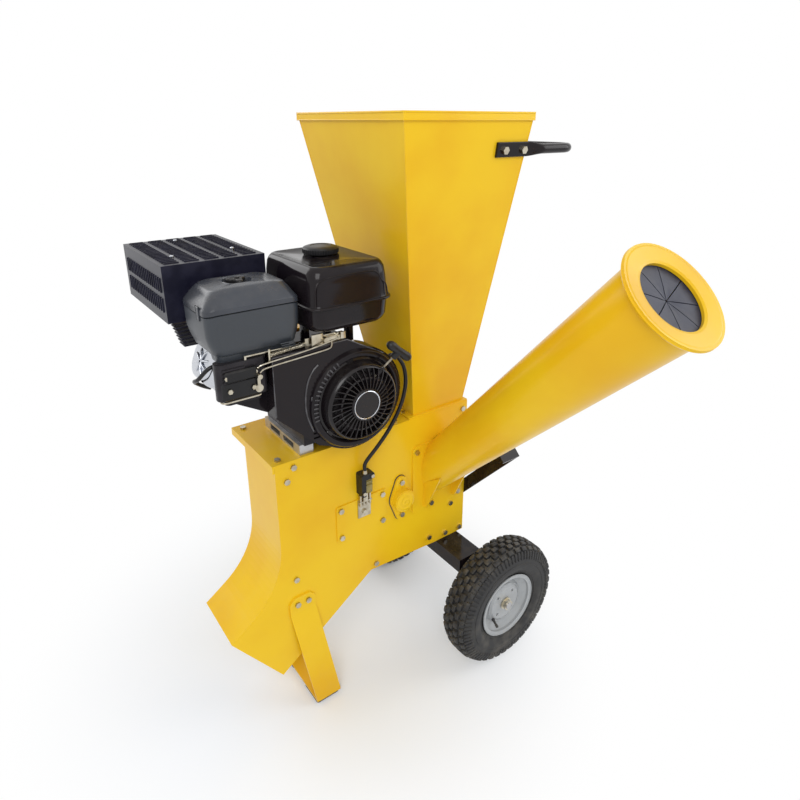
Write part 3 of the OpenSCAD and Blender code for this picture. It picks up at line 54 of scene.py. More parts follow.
# Studio floor: pale and matt, so the machine's soft shadow shows, fading to plain white far away.
# Past the fade it answers camera and mirror rays with white, as the empty world above it does.
floor_reach = 30.0
floor_colour = (0.89, 0.92, 0.96, 1)
fade_centre = (-0.12, 0.34, 0.0)
fade_start, fade_end, near_white = 0.25, 0.85, 0.05
floor_mesh = bpy.data.meshes.new("studio_floor")
floor_corners = [(x * floor_reach, y * floor_reach, 0)
                 for x, y in ((-1, -1), (1, -1), (1, 1), (-1, 1))]
floor_mesh.from_pydata(floor_corners, [], [(0, 1, 2, 3)])
floor = bpy.data.objects.new("studio_floor", floor_mesh)
bpy.context.scene.collection.objects.link(floor)


def new_material(name):
    """An empty node material with its output node: returns material, nodes, links and output."""
    material = bpy.data.materials.new(name)
    material.use_nodes = True
    nodes, links = material.node_tree.nodes, material.node_tree.links
    nodes.clear()
    return material, nodes, links, nodes.new("ShaderNodeOutputMaterial")


floor_paint, nodes, links, output = new_material("studio_floor")
matt = nodes.new("ShaderNodeBsdfDiffuse")
matt.inputs["Color"].default_value = floor_colour
white = nodes.new("ShaderNodeEmission")
spread = nodes.new("ShaderNodeTexCoord")
away = nodes.new("ShaderNodeVectorMath")
away.operation = "DISTANCE"
away.inputs[1].default_value = fade_centre
fade = nodes.new("ShaderNodeMapRange")
fade.interpolation_type = "SMOOTHSTEP"
fade.inputs["From Min"].default_value = fade_start
fade.inputs["From Max"].default_value = fade_end
fade.inputs["To Min"].default_value = near_white
rays = nodes.new("ShaderNodeLightPath")
seen = nodes.new("ShaderNodeMath")
seen.operation = "MAXIMUM"
share = nodes.new("ShaderNodeMath")
share.operation = "MULTIPLY"
mix = nodes.new("ShaderNodeMixShader")
links.new(spread.outputs["Object"], away.inputs[0])
links.new(away.outputs["Value"], fade.inputs["Value"])
links.new(rays.outputs["Is Camera Ray"], seen.inputs[0])
links.new(rays.outputs["Is Glossy Ray"], seen.inputs[1])
links.new(seen.outputs[0], share.inputs[0])
links.new(fade.outputs["Result"], share.inputs[1])
links.new(share.outputs[0], mix.inputs["Fac"])
links.new(matt.outputs[0], mix.inputs[1])
links.new(white.outputs[0], mix.inputs[2])
links.new(mix.outputs[0], output.inputs["Surface"])
floor_mesh.materials.append(floor_paint)

# Studio light: a dim even world, white where it is seen, and three large soft lamps.
world_level = 0.66
lamp_target = (0, 0, 0.7)
scene = bpy.context.scene
scene.view_settings.view_transform = "Standard"
world = bpy.data.worlds.new("studio")
world.use_nodes = True
scene.world = world
nodes, links = world.node_tree.nodes, world.node_tree.links
nodes.clear()
sky = nodes.new("ShaderNodeBackground")
sky.inputs["Color"].default_value = (1, 1, 1, 1)
rays = nodes.new("ShaderNodeLightPath")
seen = nodes.new("ShaderNodeMath")
seen.operation = "MAXIMUM"
mirrored = nodes.new("ShaderNodeMath")
mirrored.operation = "MAXIMUM"
level = nodes.new("ShaderNodeMapRange")
level.inputs["To Min"].default_value = world_level
level.inputs["To Max"].default_value = 1.0
output = nodes.new("ShaderNodeOutputWorld")
links.new(rays.outputs["Is Camera Ray"], seen.inputs[0])
links.new(rays.outputs["Is Transmission Ray"], seen.inputs[1])
links.new(seen.outputs[0], mirrored.inputs[0])
links.new(rays.outputs["Is Glossy Ray"], mirrored.inputs[1])
links.new(mirrored.outputs[0], level.inputs["Value"])
links.new(level.outputs["Result"], sky.inputs["Strength"])
links.new(sky.outputs[0], output.inputs["Surface"])


def softbox(name, place, size, power):
    """A square area lamp at a place, facing the middle of the machine."""
    lamp_data = bpy.data.lights.new(name, "AREA")
    lamp_data.shape = "SQUARE"
    lamp_data.size = size
    lamp_data.energy = power
    lamp = bpy.data.objects.new(name, lamp_data)
    lamp.location = place
    lamp.rotation_euler = (Vector(lamp_target) - Vector(place)).to_track_quat("-Z", "Y").to_euler()
    scene.collection.objects.link(lamp)


softbox("key_lamp", (-1.9, -2.2, 3.0), 1.8, 51)
softbox("fill_lamp", (2.6, -1.6, 2.2), 2.0, 28)
softbox("rim_lamp", (-1.2, 2.6, 2.4), 1.8, 25)

# Yellow powder-coated sheet: side plates, bent discharge and underside panels, deck and cover,
# cut, folded and bolted. The coat drifts towards orange, holds orange peel and dulls under dust.


def group_node(nodes, tree, **values):
    """A placed shader node group with its named inputs set."""
    node = nodes.new("ShaderNodeGroup")
    node.node_tree = tree
    for name, value in values.items():
        node.inputs[name.replace("_", " ")].default_value = value
    return node


def shader_group(name, inputs, outputs):
    """An empty node group with named sockets: returns the tree and its input and output nodes."""
    tree = bpy.data.node_groups.new(name, "ShaderNodeTree")
    for label, kind, value in inputs:
        socket = tree.interface.new_socket(label, in_out="INPUT", socket_type=kind)
        socket.default_value = value
    for label, kind in outputs:
        tree.interface.new_socket(label, in_out="OUTPUT", socket_type=kind)
    return tree, tree.nodes.new("NodeGroupInput"), tree.nodes.new("NodeGroupOutput")


FLOAT, COLOUR = "NodeSocketFloat", "NodeSocketColor"


def noise(tree, vector, scale, detail=3.0):
    """A noise texture read at a vector, with its scale from a number or a socket."""
    node = tree.nodes.new("ShaderNodeTexNoise")
    node.inputs["Detail"].default_value = detail
    tree.links.new(vector, node.inputs["Vector"])
    if isinstance(scale, (int, float)):
        node.inputs["Scale"].default_value = scale
    else:
        tree.links.new(scale, node.inputs["Scale"])
    return node.outputs["Fac"]


def remap(tree, value, low, high, to_low=0.0, to_high=1.0):
    """A value carried smoothly from one range to another, and held at its ends."""
    node = tree.nodes.new("ShaderNodeMapRange")
    node.interpolation_type = "SMOOTHSTEP"
    for label, number in (("From Min", low), ("From Max", high), ("To Min", to_low),
                          ("To Max", to_high)):
        node.inputs[label].default_value = number
    tree.links.new(value, node.inputs["Value"])
    return node.outputs["Result"]


def combine(tree, operation, a, b):
    """Two values joined by a math operation; either may be a number."""
    node = tree.nodes.new("ShaderNodeMath")
    node.operation = operation
    for socket, value in zip(node.inputs, (a, b)):
        if isinstance(value, (int, float)):
            socket.default_value = value
        else:
            tree.links.new(value, socket)
    return node.outputs[0]


def blend_colour(tree, share, a, b):
    """A colour that goes from a to b with the share."""
    node = tree.nodes.new("ShaderNodeMix")
    node.data_type = "RGBA"
    tree.links.new(share, node.inputs["Factor"])
    tree.links.new(a, node.inputs["A"])
    tree.links.new(b, node.inputs["B"])
    return node.outputs["Result"]


# Drift: broad patches that carry a surface from its own colour to a second one.
patch_low, patch_high = 0.36, 0.66
drift, entry, leave = shader_group("drift", [
    ("Colour", COLOUR, (0.5, 0.5, 0.5, 1)), ("Second Colour", COLOUR, (0.4, 0.4, 0.4, 1)),
    ("Patch Scale", FLOAT, 5.0), ("Strength", FLOAT, 0.5)], [("Colour", COLOUR), ("Patch", FLOAT)])
where = drift.nodes.new("ShaderNodeTexCoord").outputs["Object"]
patch = remap(drift, noise(drift, where, entry.outputs["Patch Scale"], 4.0), patch_low, patch_high)
patch = combine(drift, "MULTIPLY", patch, entry.outputs["Strength"])
drift.links.new(blend_colour(drift, patch, entry.outputs["Colour"],
                             entry.outputs["Second Colour"]), leave.inputs["Colour"])
drift.links.new(patch, leave.inputs["Patch"])

# Settled dust: pale film on faces that look up and low down near the wheels, broken by noise.
dust_height, low_share, dust_grain, dust_roughens = 0.30, 0.7, 34.0, 0.5
dust, entry, leave = shader_group("settled_dust", [
    ("Colour", COLOUR, (0.5, 0.5, 0.5, 1)), ("Dust Colour", COLOUR, (0.45, 0.41, 0.34, 1)),
    ("Amount", FLOAT, 0.3), ("Roughness", FLOAT, 0.4)], [("Colour", COLOUR), ("Roughness", FLOAT)])
where = dust.nodes.new("ShaderNodeTexCoord").outputs["Object"]
facing = dust.nodes.new("ShaderNodeNewGeometry").outputs["Normal"]
split = dust.nodes.new("ShaderNodeSeparateXYZ")
dust.links.new(facing, split.inputs[0])
upward = remap(dust, split.outputs["Z"], 0.2, 1.0)
height = dust.nodes.new("ShaderNodeSeparateXYZ")
dust.links.new(where, height.inputs[0])
low_down = remap(dust, height.outputs["Z"], dust_height, 0.0)
film = combine(dust, "MAXIMUM", upward, combine(dust, "MULTIPLY", low_down, low_share))
film = combine(dust, "MULTIPLY", film,
               remap(dust, noise(dust, where, dust_grain, 5.0), 0.35, 0.75))
film = combine(dust, "MULTIPLY", film, entry.outputs["Amount"])
dust.links.new(blend_colour(dust, film, entry.outputs["Colour"], entry.outputs["Dust Colour"]),
               leave.inputs["Colour"])
dust.links.new(combine(dust, "ADD", entry.outputs["Roughness"],
                       combine(dust, "MULTIPLY", film, dust_roughens)), leave.inputs["Roughness"])

# Grain: two sizes of fine noise, for orange-peel, casting skin or moulded texture.
grain, entry, leave = shader_group("grain", [
    ("Coarse Scale", FLOAT, 120.0), ("Fine Scale", FLOAT, 900.0), ("Fine Share", FLOAT, 0.3)],
    [("Height", FLOAT)])
where = grain.nodes.new("ShaderNodeTexCoord").outputs["Object"]
coarse = noise(grain, where, entry.outputs["Coarse Scale"], 2.0)
fine = noise(grain, where, entry.outputs["Fine Scale"], 2.0)
grain.links.new(combine(grain, "ADD", coarse,
                        combine(grain, "MULTIPLY", fine, entry.outputs["Fine Share"])),
                leave.inputs["Height"])


def finish(name, colour, second, patch_scale=5.0, patch_strength=0.5, roughness=0.4,
           dust_amount=0.2, dust_colour=(0.42, 0.38, 0.31), coarse=120.0, fine=900.0,
           fine_share=0.3, bump=0.05, bump_distance=0.001, metallic=0.0, coat=0.0, specular=0.5):
    """A finish for this machine: drift, then dust over it, then grain as bump, on one shader."""
    material, nodes, links, output = new_material(name)
    shader = nodes.new("ShaderNodeBsdfPrincipled")
    for label, value in (("Metallic", metallic), ("Coat Weight", coat), ("Coat Roughness", 0.08),
                         ("Specular IOR Level", specular)):
        shader.inputs[label].default_value = value
    tone = group_node(nodes, drift, Colour=(*colour, 1), Second_Colour=(*second, 1),
                      Patch_Scale=patch_scale, Strength=patch_strength)
    film = group_node(nodes, dust, Dust_Colour=(*dust_colour, 1), Amount=dust_amount,
                      Roughness=roughness)
    skin = group_node(nodes, grain, Coarse_Scale=coarse, Fine_Scale=fine, Fine_Share=fine_share)
    relief = nodes.new("ShaderNodeBump")
    relief.inputs["Strength"].default_value = bump
    relief.inputs["Distance"].default_value = bump_distance
    links.new(tone.outputs["Colour"], film.inputs["Colour"])
    links.new(film.outputs["Colour"], shader.inputs["Base Color"])
    links.new(film.outputs["Roughness"], shader.inputs["Roughness"])
    links.new(skin.outputs["Height"], relief.inputs["Height"])
    links.new(relief.outputs["Normal"], shader.inputs["Normal"])
    links.new(shader.outputs[0], output.inputs["Surface"])
    return material


def wear(material, *names):
    """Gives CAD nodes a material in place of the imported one."""
    for name in names:
        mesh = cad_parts[name].data
        mesh.materials.clear()
        mesh.materials.append(material)


yellow_paint = finish("yellow_paint", (0.84, 0.535, 0.012), (0.76, 0.40, 0.006), 3.2, 0.75, 0.28,
                      0.04, coarse=90.0, fine=500.0, bump=0.10, bump_distance=0.0006, coat=0.04,
                      specular=0.20)
wear(yellow_paint, "near_side_plate", "far_side_plate", "discharge_panel", "underside_panel",
     "rear_panel", "deck", "access_cover")

# Seams of the housing: where the bent discharge panel meets the two side plates, a thin bead
# of weld runs down each edge, dressed and painted over with the sheets.


def welded(points, quads):
    """Triangles of a quad grid, coincident points joined and empty triangles dropped."""
    _, first, back = np.unique(np.round(points, 4), axis=0, return_index=True, return_inverse=True)
    quads = back.reshape(-1)[quads]
    tris = np.concatenate([quads[:, [0, 1, 2]], quads[:, [0, 2, 3]]])
    whole = (tris[:, 0] != tris[:, 1]) & (tris[:, 1] != tris[:, 2]) & (tris[:, 2] != tris[:, 0])
    return points[first], tris[whole]


def loft(rings, looped=False):
    """Skin over rings: face (i, j) joins points j and j + 1 of rings i and i + 1.
    The first and last ring close in a fan on their mean point, or on each other when looped."""
    if not looped:
        ends = [np.repeat(ring.mean(0, keepdims=True), len(ring), 0)[None]
                for ring in (rings[0], rings[-1])]
        rings = np.concatenate([ends[0], rings, ends[1]])
    rows, columns = rings.shape[:2]
    i, j = np.meshgrid(np.arange(rows if looped else rows - 1), np.arange(columns), indexing="ij")
    low, high, right = i * columns, (i + 1) % rows * columns, (j + 1) % columns
    return welded(rings.reshape(-1, 3),
                  np.stack([low + j, low + right, high + right, high + j], -1).reshape(-1, 4))


def curve(points, steps=10):
    """Catmull-Rom line: on a span, p = (2 p1 + (p2 - p0) t + (2 p0 - 5 p1 + 4 p2 - p3) t^2
    + (3 p1 - p0 - 3 p2 + p3) t^3) / 2, with t from 0 to 1."""
    points = np.asarray(points, float)
    held = np.concatenate([2 * points[:1] - points[1:2], points, 2 * points[-1:] - points[-2:-1]])
    p0, p1, p2, p3 = (held[k:len(held) - 3 + k, None] for k in range(4))
    t = (np.arange(steps) / steps)[None, :, None]
    spans = 0.5 * (2 * p1 + (p2 - p0) * t + (2 * p0 - 5 * p1 + 4 * p2 - p3) * t ** 2
                   + (3 * p1 - p0 - 3 * p2 + p3) * t ** 3)
    return np.concatenate([spans.reshape(-1, points.shape[1]), points[-1:]])


def rod(path, radius, sides=12, looped=False):
    """Round bar along a path: path(i) + radius(i) * (cos a * side(i) + sin a * up(i)), square to
    the path, with side(i) the path's direction crossed with the normal of its best plane."""
    path = np.asarray(path, float)
    ahead = np.roll(path, -1, 0) - np.roll(path, 1, 0) if looped else np.gradient(path, axis=0)
    ahead /= np.linalg.norm(ahead, axis=1, keepdims=True)
    normal = np.linalg.svd(path - path.mean(0))[2][2]
    side = np.cross(ahead, normal)
    side /= np.linalg.norm(side, axis=1, keepdims=True)
    up = np.cross(side, ahead)
    angle = np.arange(sides) * 2 * np.pi / sides
    reach = np.broadcast_to(radius, len(path))[:, None, None]
    return loft(path[:, None]
                + reach * (np.cos(angle)[:, None] * side[:, None]
                           + np.sin(angle)[:, None] * up[:, None]), looped)


AXES = {"x": np.array([[0, 1, 0], [0, 0, 1], [1, 0, 0]], float),
        "y": np.array([[1, 0, 0], [0, 0, 1], [0, 1, 0]], float), "z": np.eye(3)}


def towards(direction):
    """Two directions square to a given one, and it: rows side, up, along."""
    if isinstance(direction, str):
        return AXES[direction]
    along = np.asarray(direction, float) / np.linalg.norm(direction)
    side = np.cross([0, 0, 1], along)
    side /= np.linalg.norm(side)
    return np.stack([side, np.cross(along, side), along])


def turned(profile, centre, direction="y", turns=72, looped=True):
    """(radius, height) profile turned on an axis:
    centre + height * axis + radius * (cos a * side + sin a * up)."""
    profile = np.asarray(profile, float)
    angle = np.arange(turns) * 2 * np.pi / turns
    local = np.stack([profile[:, :1] * np.cos(angle), profile[:, :1] * np.sin(angle),
                      np.repeat(profile[:, 1:], turns, 1)], -1)
    return loft(np.asarray(centre, float) + local @ towards(direction), looped)


def rounded(length, width, radius, steps=6):
    """Rounded rectangle about the origin: corner(k) + radius * (cos a, sin a), a by quarters."""
    angle = (np.arange(4)[:, None] * 90 + np.arange(steps + 1) / steps * 90) * np.pi / 180
    reach = [length / 2 - radius, width / 2 - radius]
    corner = np.array([[1, 1], [-1, 1], [-1, -1], [1, -1]]) * reach
    return (corner[:, None] + radius * np.stack([np.cos(angle), np.sin(angle)], -1)).reshape(-1, 2)


def inset(outline, amount):
    """Outline moved inward: p - amount * n, with n the outward normal of its neighbours' chord."""
    chord = np.roll(outline, -1, 0) - np.roll(outline, 1, 0)
    chord /= np.linalg.norm(chord, axis=1, keepdims=True)
    return outline - amount * np.stack([chord[:, 1], -chord[:, 0]], -1)


def slab(outline, levels, centre=(0, 0, 0), direction="z"):
    """Solid over an outline: each (height, inset) level is centre + inset outline + h * axis."""
    rings = np.stack([np.column_stack([inset(outline, shrunk), np.full(len(outline), height)])
                      for height, shrunk in levels])
    return loft(np.asarray(centre, float) + rings @ towards(direction))


def block(centre, length, width, height, bevel=1.0, direction="z", radius=None):
    """Rounded box on its base centre: a slab of a rounded rectangle, bevelled top and bottom."""
    outline = rounded(length, width, radius or 2 * bevel, 3)
    return slab(outline, [(0, bevel), (bevel, 0), (height - bevel, 0), (height, bevel)], centre,
                direction)


def copies(world, tris):
    """One mesh of a part's copies, from points (copy, point, xyz) and the part's triangles."""
    count, size = world.shape[:2]
    faces = tris[None] + np.arange(count)[:, None, None] * size
    return world.reshape(-1, 3), faces.reshape(-1, 3)


def ringed(part, count, centre, direction="y", start=0.0, sweep=360.0):
    """Copies of a part round an axis: centre + R(start + k * sweep / count) (p - centre)."""
    points, tris = part
    side, up, along = towards(direction)
    angle = np.radians(start + np.arange(count) * sweep / count)
    local = (points - np.asarray(centre, float)) @ np.stack([side, up, along]).T
    cos, sin = np.cos(angle)[:, None], np.sin(angle)[:, None]
    spun = np.stack([local[:, 0] * cos - local[:, 1] * sin, local[:, 0] * sin + local[:, 1] * cos,
                     np.broadcast_to(local[:, 2], (count, len(points)))], -1)
    return copies(np.asarray(centre, float) + spun @ np.stack([side, up, along]), tris)


def rowed(part, count, step):
    """Copies of a part in a row: p + k * step."""
    points, tris = part
    return copies(points[None] + np.arange(count)[:, None, None] * np.asarray(step, float), tris)


def piece(name, material, parts, sharp=32):
    """A mesh of closed parts in millimetres: each faces outward (its signed volume, the sum of a .
    (b x c), is positive) and is shaded smooth below the sharp angle."""
    points, tris, base = [], [], 0
    for corner, face in parts:
        a, b, c = corner[face[:, 0]], corner[face[:, 1]], corner[face[:, 2]]
        outward = np.einsum("ij,ij->", a - a[0], np.cross(b - a[0], c - a[0])) > 0
        points.append(corner)
        tris.append((face if outward else face[:, ::-1]) + base)
        base += len(corner)
    points, tris = np.concatenate(points) / 1000, np.concatenate(tris)
    mesh = bpy.data.meshes.new(name)
    mesh.vertices.add(len(points))
    mesh.vertices.foreach_set("co", points.ravel())
    mesh.loops.add(tris.size)
    mesh.loops.foreach_set("vertex_index", tris.ravel().astype(np.int32))
    mesh.polygons.add(len(tris))
    mesh.polygons.foreach_set("loop_start", np.arange(0, tris.size, 3, dtype=np.int32))
    mesh.update(calc_edges=True)
    mesh.validate()
    mesh.shade_smooth()
    mesh.set_sharp_from_angle(angle=math.radians(sharp))
    mesh.materials.append(material)
    thing = bpy.data.objects.new(name, mesh)
    bpy.context.scene.collection.objects.link(thing)
    return thing


near_face, far_face = 132.9, 294.9
seam_x, seam_low, seam_high, seam_in, seam_r = -316, 520, 690, 4, 1.2
seam_beads = [rod([(seam_x, y, z) for z in np.linspace(seam_low, seam_high, 6)], seam_r, 8)
              for y in (near_face + seam_in, far_face - seam_in)]
housing_seams = piece("housing_seams", yellow_paint, seam_beads)
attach(housing_seams, "chassis")

# Square hopper: four tapering sheets with a rolled rim, welded at the corners and bolted by its
# foot. Each corner carries a dressed weld bead under the paint.
hopper_foot = np.array([[64, 140.9], [226, 140.9], [226, 286.9], [64, 286.9]])
hopper_top = np.array([[-48, 32.4], [312, 32.4], [312, 457.4], [-48, 457.4]])
foot_z, rim_z, rim_low_z = 715.0, 1428.0, 1410.0
corner_bead_r, upper_roll_r, lower_roll_r = 1.3, 2.2, 1.4
rim_length, rim_width, rim_corner_r = 363, 428, 4
share = np.linspace(0.01, 0.975, 12)[:, None]
corner_beads = [rod(np.column_stack([a + (b - a) * share, foot_z + (rim_z - foot_z) * share]),
                    corner_bead_r, 8) for a, b in zip(hopper_foot, hopper_top)]
rim_centre = hopper_top.mean(0)
rim_edge = rounded(rim_length, rim_width, rim_corner_r, 4)
rolled_rim = [rod(np.column_stack([rim_edge + rim_centre, np.full(len(rim_edge), z)]), r, 8,
                  looped=True)
              for z, r in ((rim_z - upper_roll_r, upper_roll_r),
                           (rim_low_z + lower_roll_r, lower_roll_r))]
wear(yellow_paint, "hopper")
hopper_rim = piece("hopper_rim", yellow_paint, corner_beads + rolled_rim)
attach(hopper_rim, "chassis")

# Push handle: one steel tube bent to a U, gloss black. Its ends are pressed flat into the tabs
# that are bolted to the hopper, and they lean with the hopper's sides.
black_paint = finish("black_paint", (0.008, 0.006, 0.008), (0.014, 0.010, 0.011), 9.0, 0.6, 0.12,
                     0.04, coarse=140.0, fine=700.0, bump=0.04, bump_distance=0.0005,
                     specular=0.22)
wear(black_paint, "push_handle", "cone_brace", "axle_beam")
handle_z, handle_r, handle_bend = 1350.0, 11.0, 45.0
tab_start, swage_start, swage_end, bend_start = 209.0, 300.0, 342.0, 413.0
tab_half_t, tab_half_h, tab_squareness = 3.0, 16.0, 0.3
tab_ys, tube_ys, tab_leans = (40.9, 442.15), (30.9, 451.9), (0.151, 0.238)


def handle_tube():
    """One tube along a U, pressed flat at its ends. Section: |cos a|^power by |sin a|^power, with
    size and power going from the tab's to the round tube's by the step 3 b^2 - 2 b^3."""
    x = np.linspace(tab_start, bend_start, 36)
    blend = np.clip((x - swage_start) / (swage_end - swage_start), 0, 1)
    blend = blend * blend * (3 - 2 * blend)
    bend = np.linspace(-np.pi / 2, 0, 13)[1:, None]
    near, far = (tab + (tube - tab) * blend for tab, tube in zip(tab_ys, tube_ys))
    corner = handle_bend * np.column_stack([np.cos(bend), np.sin(bend)])
    path = np.concatenate([np.column_stack([x, near]),
                           (bend_start, tube_ys[0] + handle_bend) + corner,
                           (bend_start, tube_ys[1] - handle_bend) + (corner * (1, -1))[::-1],
                           np.column_stack([x, far])[::-1]])
    whole = np.ones(2 * len(bend))
    roundness = np.concatenate([blend, whole, blend[::-1]])[:, None]
    lean = np.repeat(tab_leans, len(x) + len(bend))[:, None]
    out = np.concatenate([np.tile((0.0, -1.0), (len(x), 1)),
                          np.column_stack([np.cos(bend), np.sin(bend)]),
                          np.column_stack([np.cos(bend), -np.sin(bend)])[::-1],
                          np.tile((0.0, 1.0), (len(x), 1))])
    turn = np.linspace(0, 2 * np.pi, 32, endpoint=False)[None]
    power = tab_squareness + (1 - tab_squareness) * roundness
    half_t = tab_half_t + (handle_r - tab_half_t) * roundness
    half_h = tab_half_h + (handle_r - tab_half_h) * roundness
    wide = np.sign(np.cos(turn)) * np.abs(np.cos(turn)) ** power * half_t
    high = np.sign(np.sin(turn)) * np.abs(np.sin(turn)) ** power * half_h
    wide = wide + lean * high * (1 - roundness)
    plan = path[:, None] + out[:, None] * wide[..., None]
    return loft(np.concatenate([plan, (handle_z + high)[..., None]], -1))


handle = piece("handle_tube", black_paint, [handle_tube()], sharp=50)
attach(handle, "chassis")
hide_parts("push_handle")

# Feed cone: rolled tapering tube on a folded foot flange, with a turned mouth ring welded on.
# A rippled bead of weld runs round the ring's back, and a lip stands on its outer edge.
cone_tilt = math.radians(44)
cone_foot = np.array([141.0, near_face, 548.0])
cone_way = np.array([0.0, -math.sin(cone_tilt), math.cos(cone_tilt)])
cone_length, cone_end_r, ring_r, ring_t = 820.0, 88.0, 104.0, 12.0
weld_r, weld_ripple, ripple_count = 2.6, 0.5, 36
wear(yellow_paint, "feed_cone", "mouth_ring")
ring_back = cone_foot + cone_way * (cone_length - 2)
turn = np.linspace(0, 2 * np.pi, 73)[:-1, None]
side, up, _ = towards(cone_way)
weld_line = ring_back + (cone_end_r + 0.8) * (np.cos(turn) * side + np.sin(turn) * up)
ring_lip = turned([(ring_r - 5, 0), (ring_r - 1.5, 0.4), (ring_r - 0.4, 2), (ring_r - 1, 3.4),
                   (ring_r - 5, 3)], cone_foot + cone_way * (cone_length + ring_t - 3), cone_way)
cone_welds = piece("cone_welds", yellow_paint,
                   [rod(weld_line, weld_r + weld_ripple * np.sin(turn[:, 0] * ripple_count), 8,
                        looped=True), ring_lip])
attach(cone_welds, "chassis")

# Rubber curtain: a sheet cut into eight leaves, pinched between cone and mouth ring.
# The leaves sag inward a little towards their tips, so the slits between them open.
rubber = finish("slate_rubber", (0.030, 0.034, 0.058), (0.020, 0.022, 0.040), 18.0, 0.6, 0.55,
                0.06, coarse=500.0, fine=1800.0, bump=0.15, bump_distance=0.0004)
leaf_count, leaf_r, leaf_t, leaf_sag = 8, 84.0, 4.0, 7.0
half_slit, narrowest_r, rows, columns = 0.9, 4, 9, 7
half_angle = math.pi / leaf_count


def curtain_leaf():
    """One wedge: radius u * leaf_r, angle v * (half_angle - half_slit / radius), sunk by
    leaf_sag * (1 - u)^2, with u from the centre out and v across."""
    u = np.linspace(0.03, 1.0, rows)
    v = np.linspace(-1, 1, columns)
    round_u = np.concatenate([np.full(columns, u[0]), u, np.full(columns, u[-1]), u[::-1]])
    round_v = np.concatenate([v[::-1], np.full(rows, -1), v, np.full(rows, 1)])
    reach = round_u * leaf_r
    angle = round_v * (half_angle - half_slit / np.maximum(reach, narrowest_r))
    sunk = -leaf_sag * (1 - round_u) ** 2
    rings = [np.column_stack([reach * np.cos(angle), reach * np.sin(angle), sunk + h])
             for h in (0, leaf_t)]
    return loft(np.stack(rings) @ towards(cone_way) + cone_foot
                + cone_way * (cone_length - leaf_t - 0.5))


leaves = ringed(curtain_leaf(), leaf_count, cone_foot, cone_way)
curtain = piece("curtain_leaves", rubber, [leaves], sharp=40)
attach(curtain, "chassis")
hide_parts("rubber_curtain")

# Leg: one strip of plate, bent to a foot and painted yellow, under the chute side of the housing.
# It stands on two moulded rubber pads.
wear(yellow_paint, "leg_frame")
wear(rubber, "foot_pads")

# Wheels: pneumatic block-tread tyres, moulded in black rubber that greys with dust. Three rows of
# square lugs cross the crown, and shoulder lugs run down into radial ribs on the sidewall.
tyre_rubber = finish("tyre_rubber", (0.012, 0.012, 0.013), (0.024, 0.023, 0.023), 26.0, 0.6, 0.60,
                     0.22, coarse=380.0, fine=1400.0, bump=0.20, bump_distance=0.0005)
axle_x, axle_z, wheel_ys = 235.0, 175.0, {"near": -27.1, "far": 454.9}
casing = curve([(84.2, 29), (94, 34), (113, 44), (132, 45), (150, 42.6), (161, 35), (166, 24),
                (167.4, 12), (167.8, 0)], 5)
casing = np.concatenate([casing, casing[-2::-1] * [1, -1]])
lug_length, lug_count, rib_count, rib_y, rib_r = 16.5, 40, 80, 40.5, 151
lug_levels = [(0, -1.2), (6.5, -0.2), (8.3, 0.3), (9, 1.4)]
# A row of lugs: place across the tread, shift in lugs, width, lean and its root's radius.
lug_rows = ((0, 0.0, 12, 0, 166), (-15, 0.5, 13, -4, 165.6), (15, 0.5, 13, 4, 165.6),
            (-29.5, 0.0, 12, -24, 160.5), (29.5, 0.0, 12, 24, 160.5))
inside = np.array([(84.2, -24), (120, -34), (152, -30), (158, 0), (152, 30), (120, 34),
                   (84.2, 24)])


def ring_points(centre, radius, offset, count=96):
    """Circle about the Y axis: centre + (r cos a, offset, r sin a)."""
    a = np.arange(count) * 2 * np.pi / count
    return np.asarray(centre) + np.column_stack([radius * np.cos(a), np.full(count, offset),
                                                 radius * np.sin(a)])


def tyre(side, y):
    """Casing profile turned about the axle, with rows of lugs, ribs and two moulded lines."""
    centre = (axle_x, y, axle_z)
    parts = [turned(np.concatenate([casing, inside]), centre, "y", 120)]
    for lateral, shift, wide, lean, root in lug_rows:
        lug = slab(rounded(lug_length, wide, 2.2, 3), lug_levels)
        tilt = math.radians(lean)
        across = np.array([[1, 0, 0], [0, math.cos(tilt), -math.sin(tilt)],
                           [0, math.sin(tilt), math.cos(tilt)]])
        points = lug[0] @ across + [axle_x, y + lateral, axle_z + root]
        parts.append(ringed((points, lug[1]), lug_count, centre, "y", shift * 360 / lug_count))
    for flank in (-1, 1):
        rib = slab(rounded(7, 22, 2, 3), [(0, -0.6), (3, 0.2), (3.6, 1.2)],
                   (axle_x, y + flank * rib_y, axle_z + rib_r), (0, flank * 0.93, 0.36))
        parts.append(ringed(rib, rib_count, centre, "y"))
        for line_r, line_y, line_t in ((128, 45.2, 1.1), (101, 38.2, 1.3)):
            parts.append(rod(ring_points(centre, line_r, flank * line_y), line_t, 8, looped=True))
    return piece(side + "_tyre_tread", tyre_rubber, parts, sharp=38)


for side_name, wheel_y in wheel_ys.items():
    tread = tyre(side_name, wheel_y)
    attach(tread, side_name + "_wheel")
    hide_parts(side_name + "_tyre")

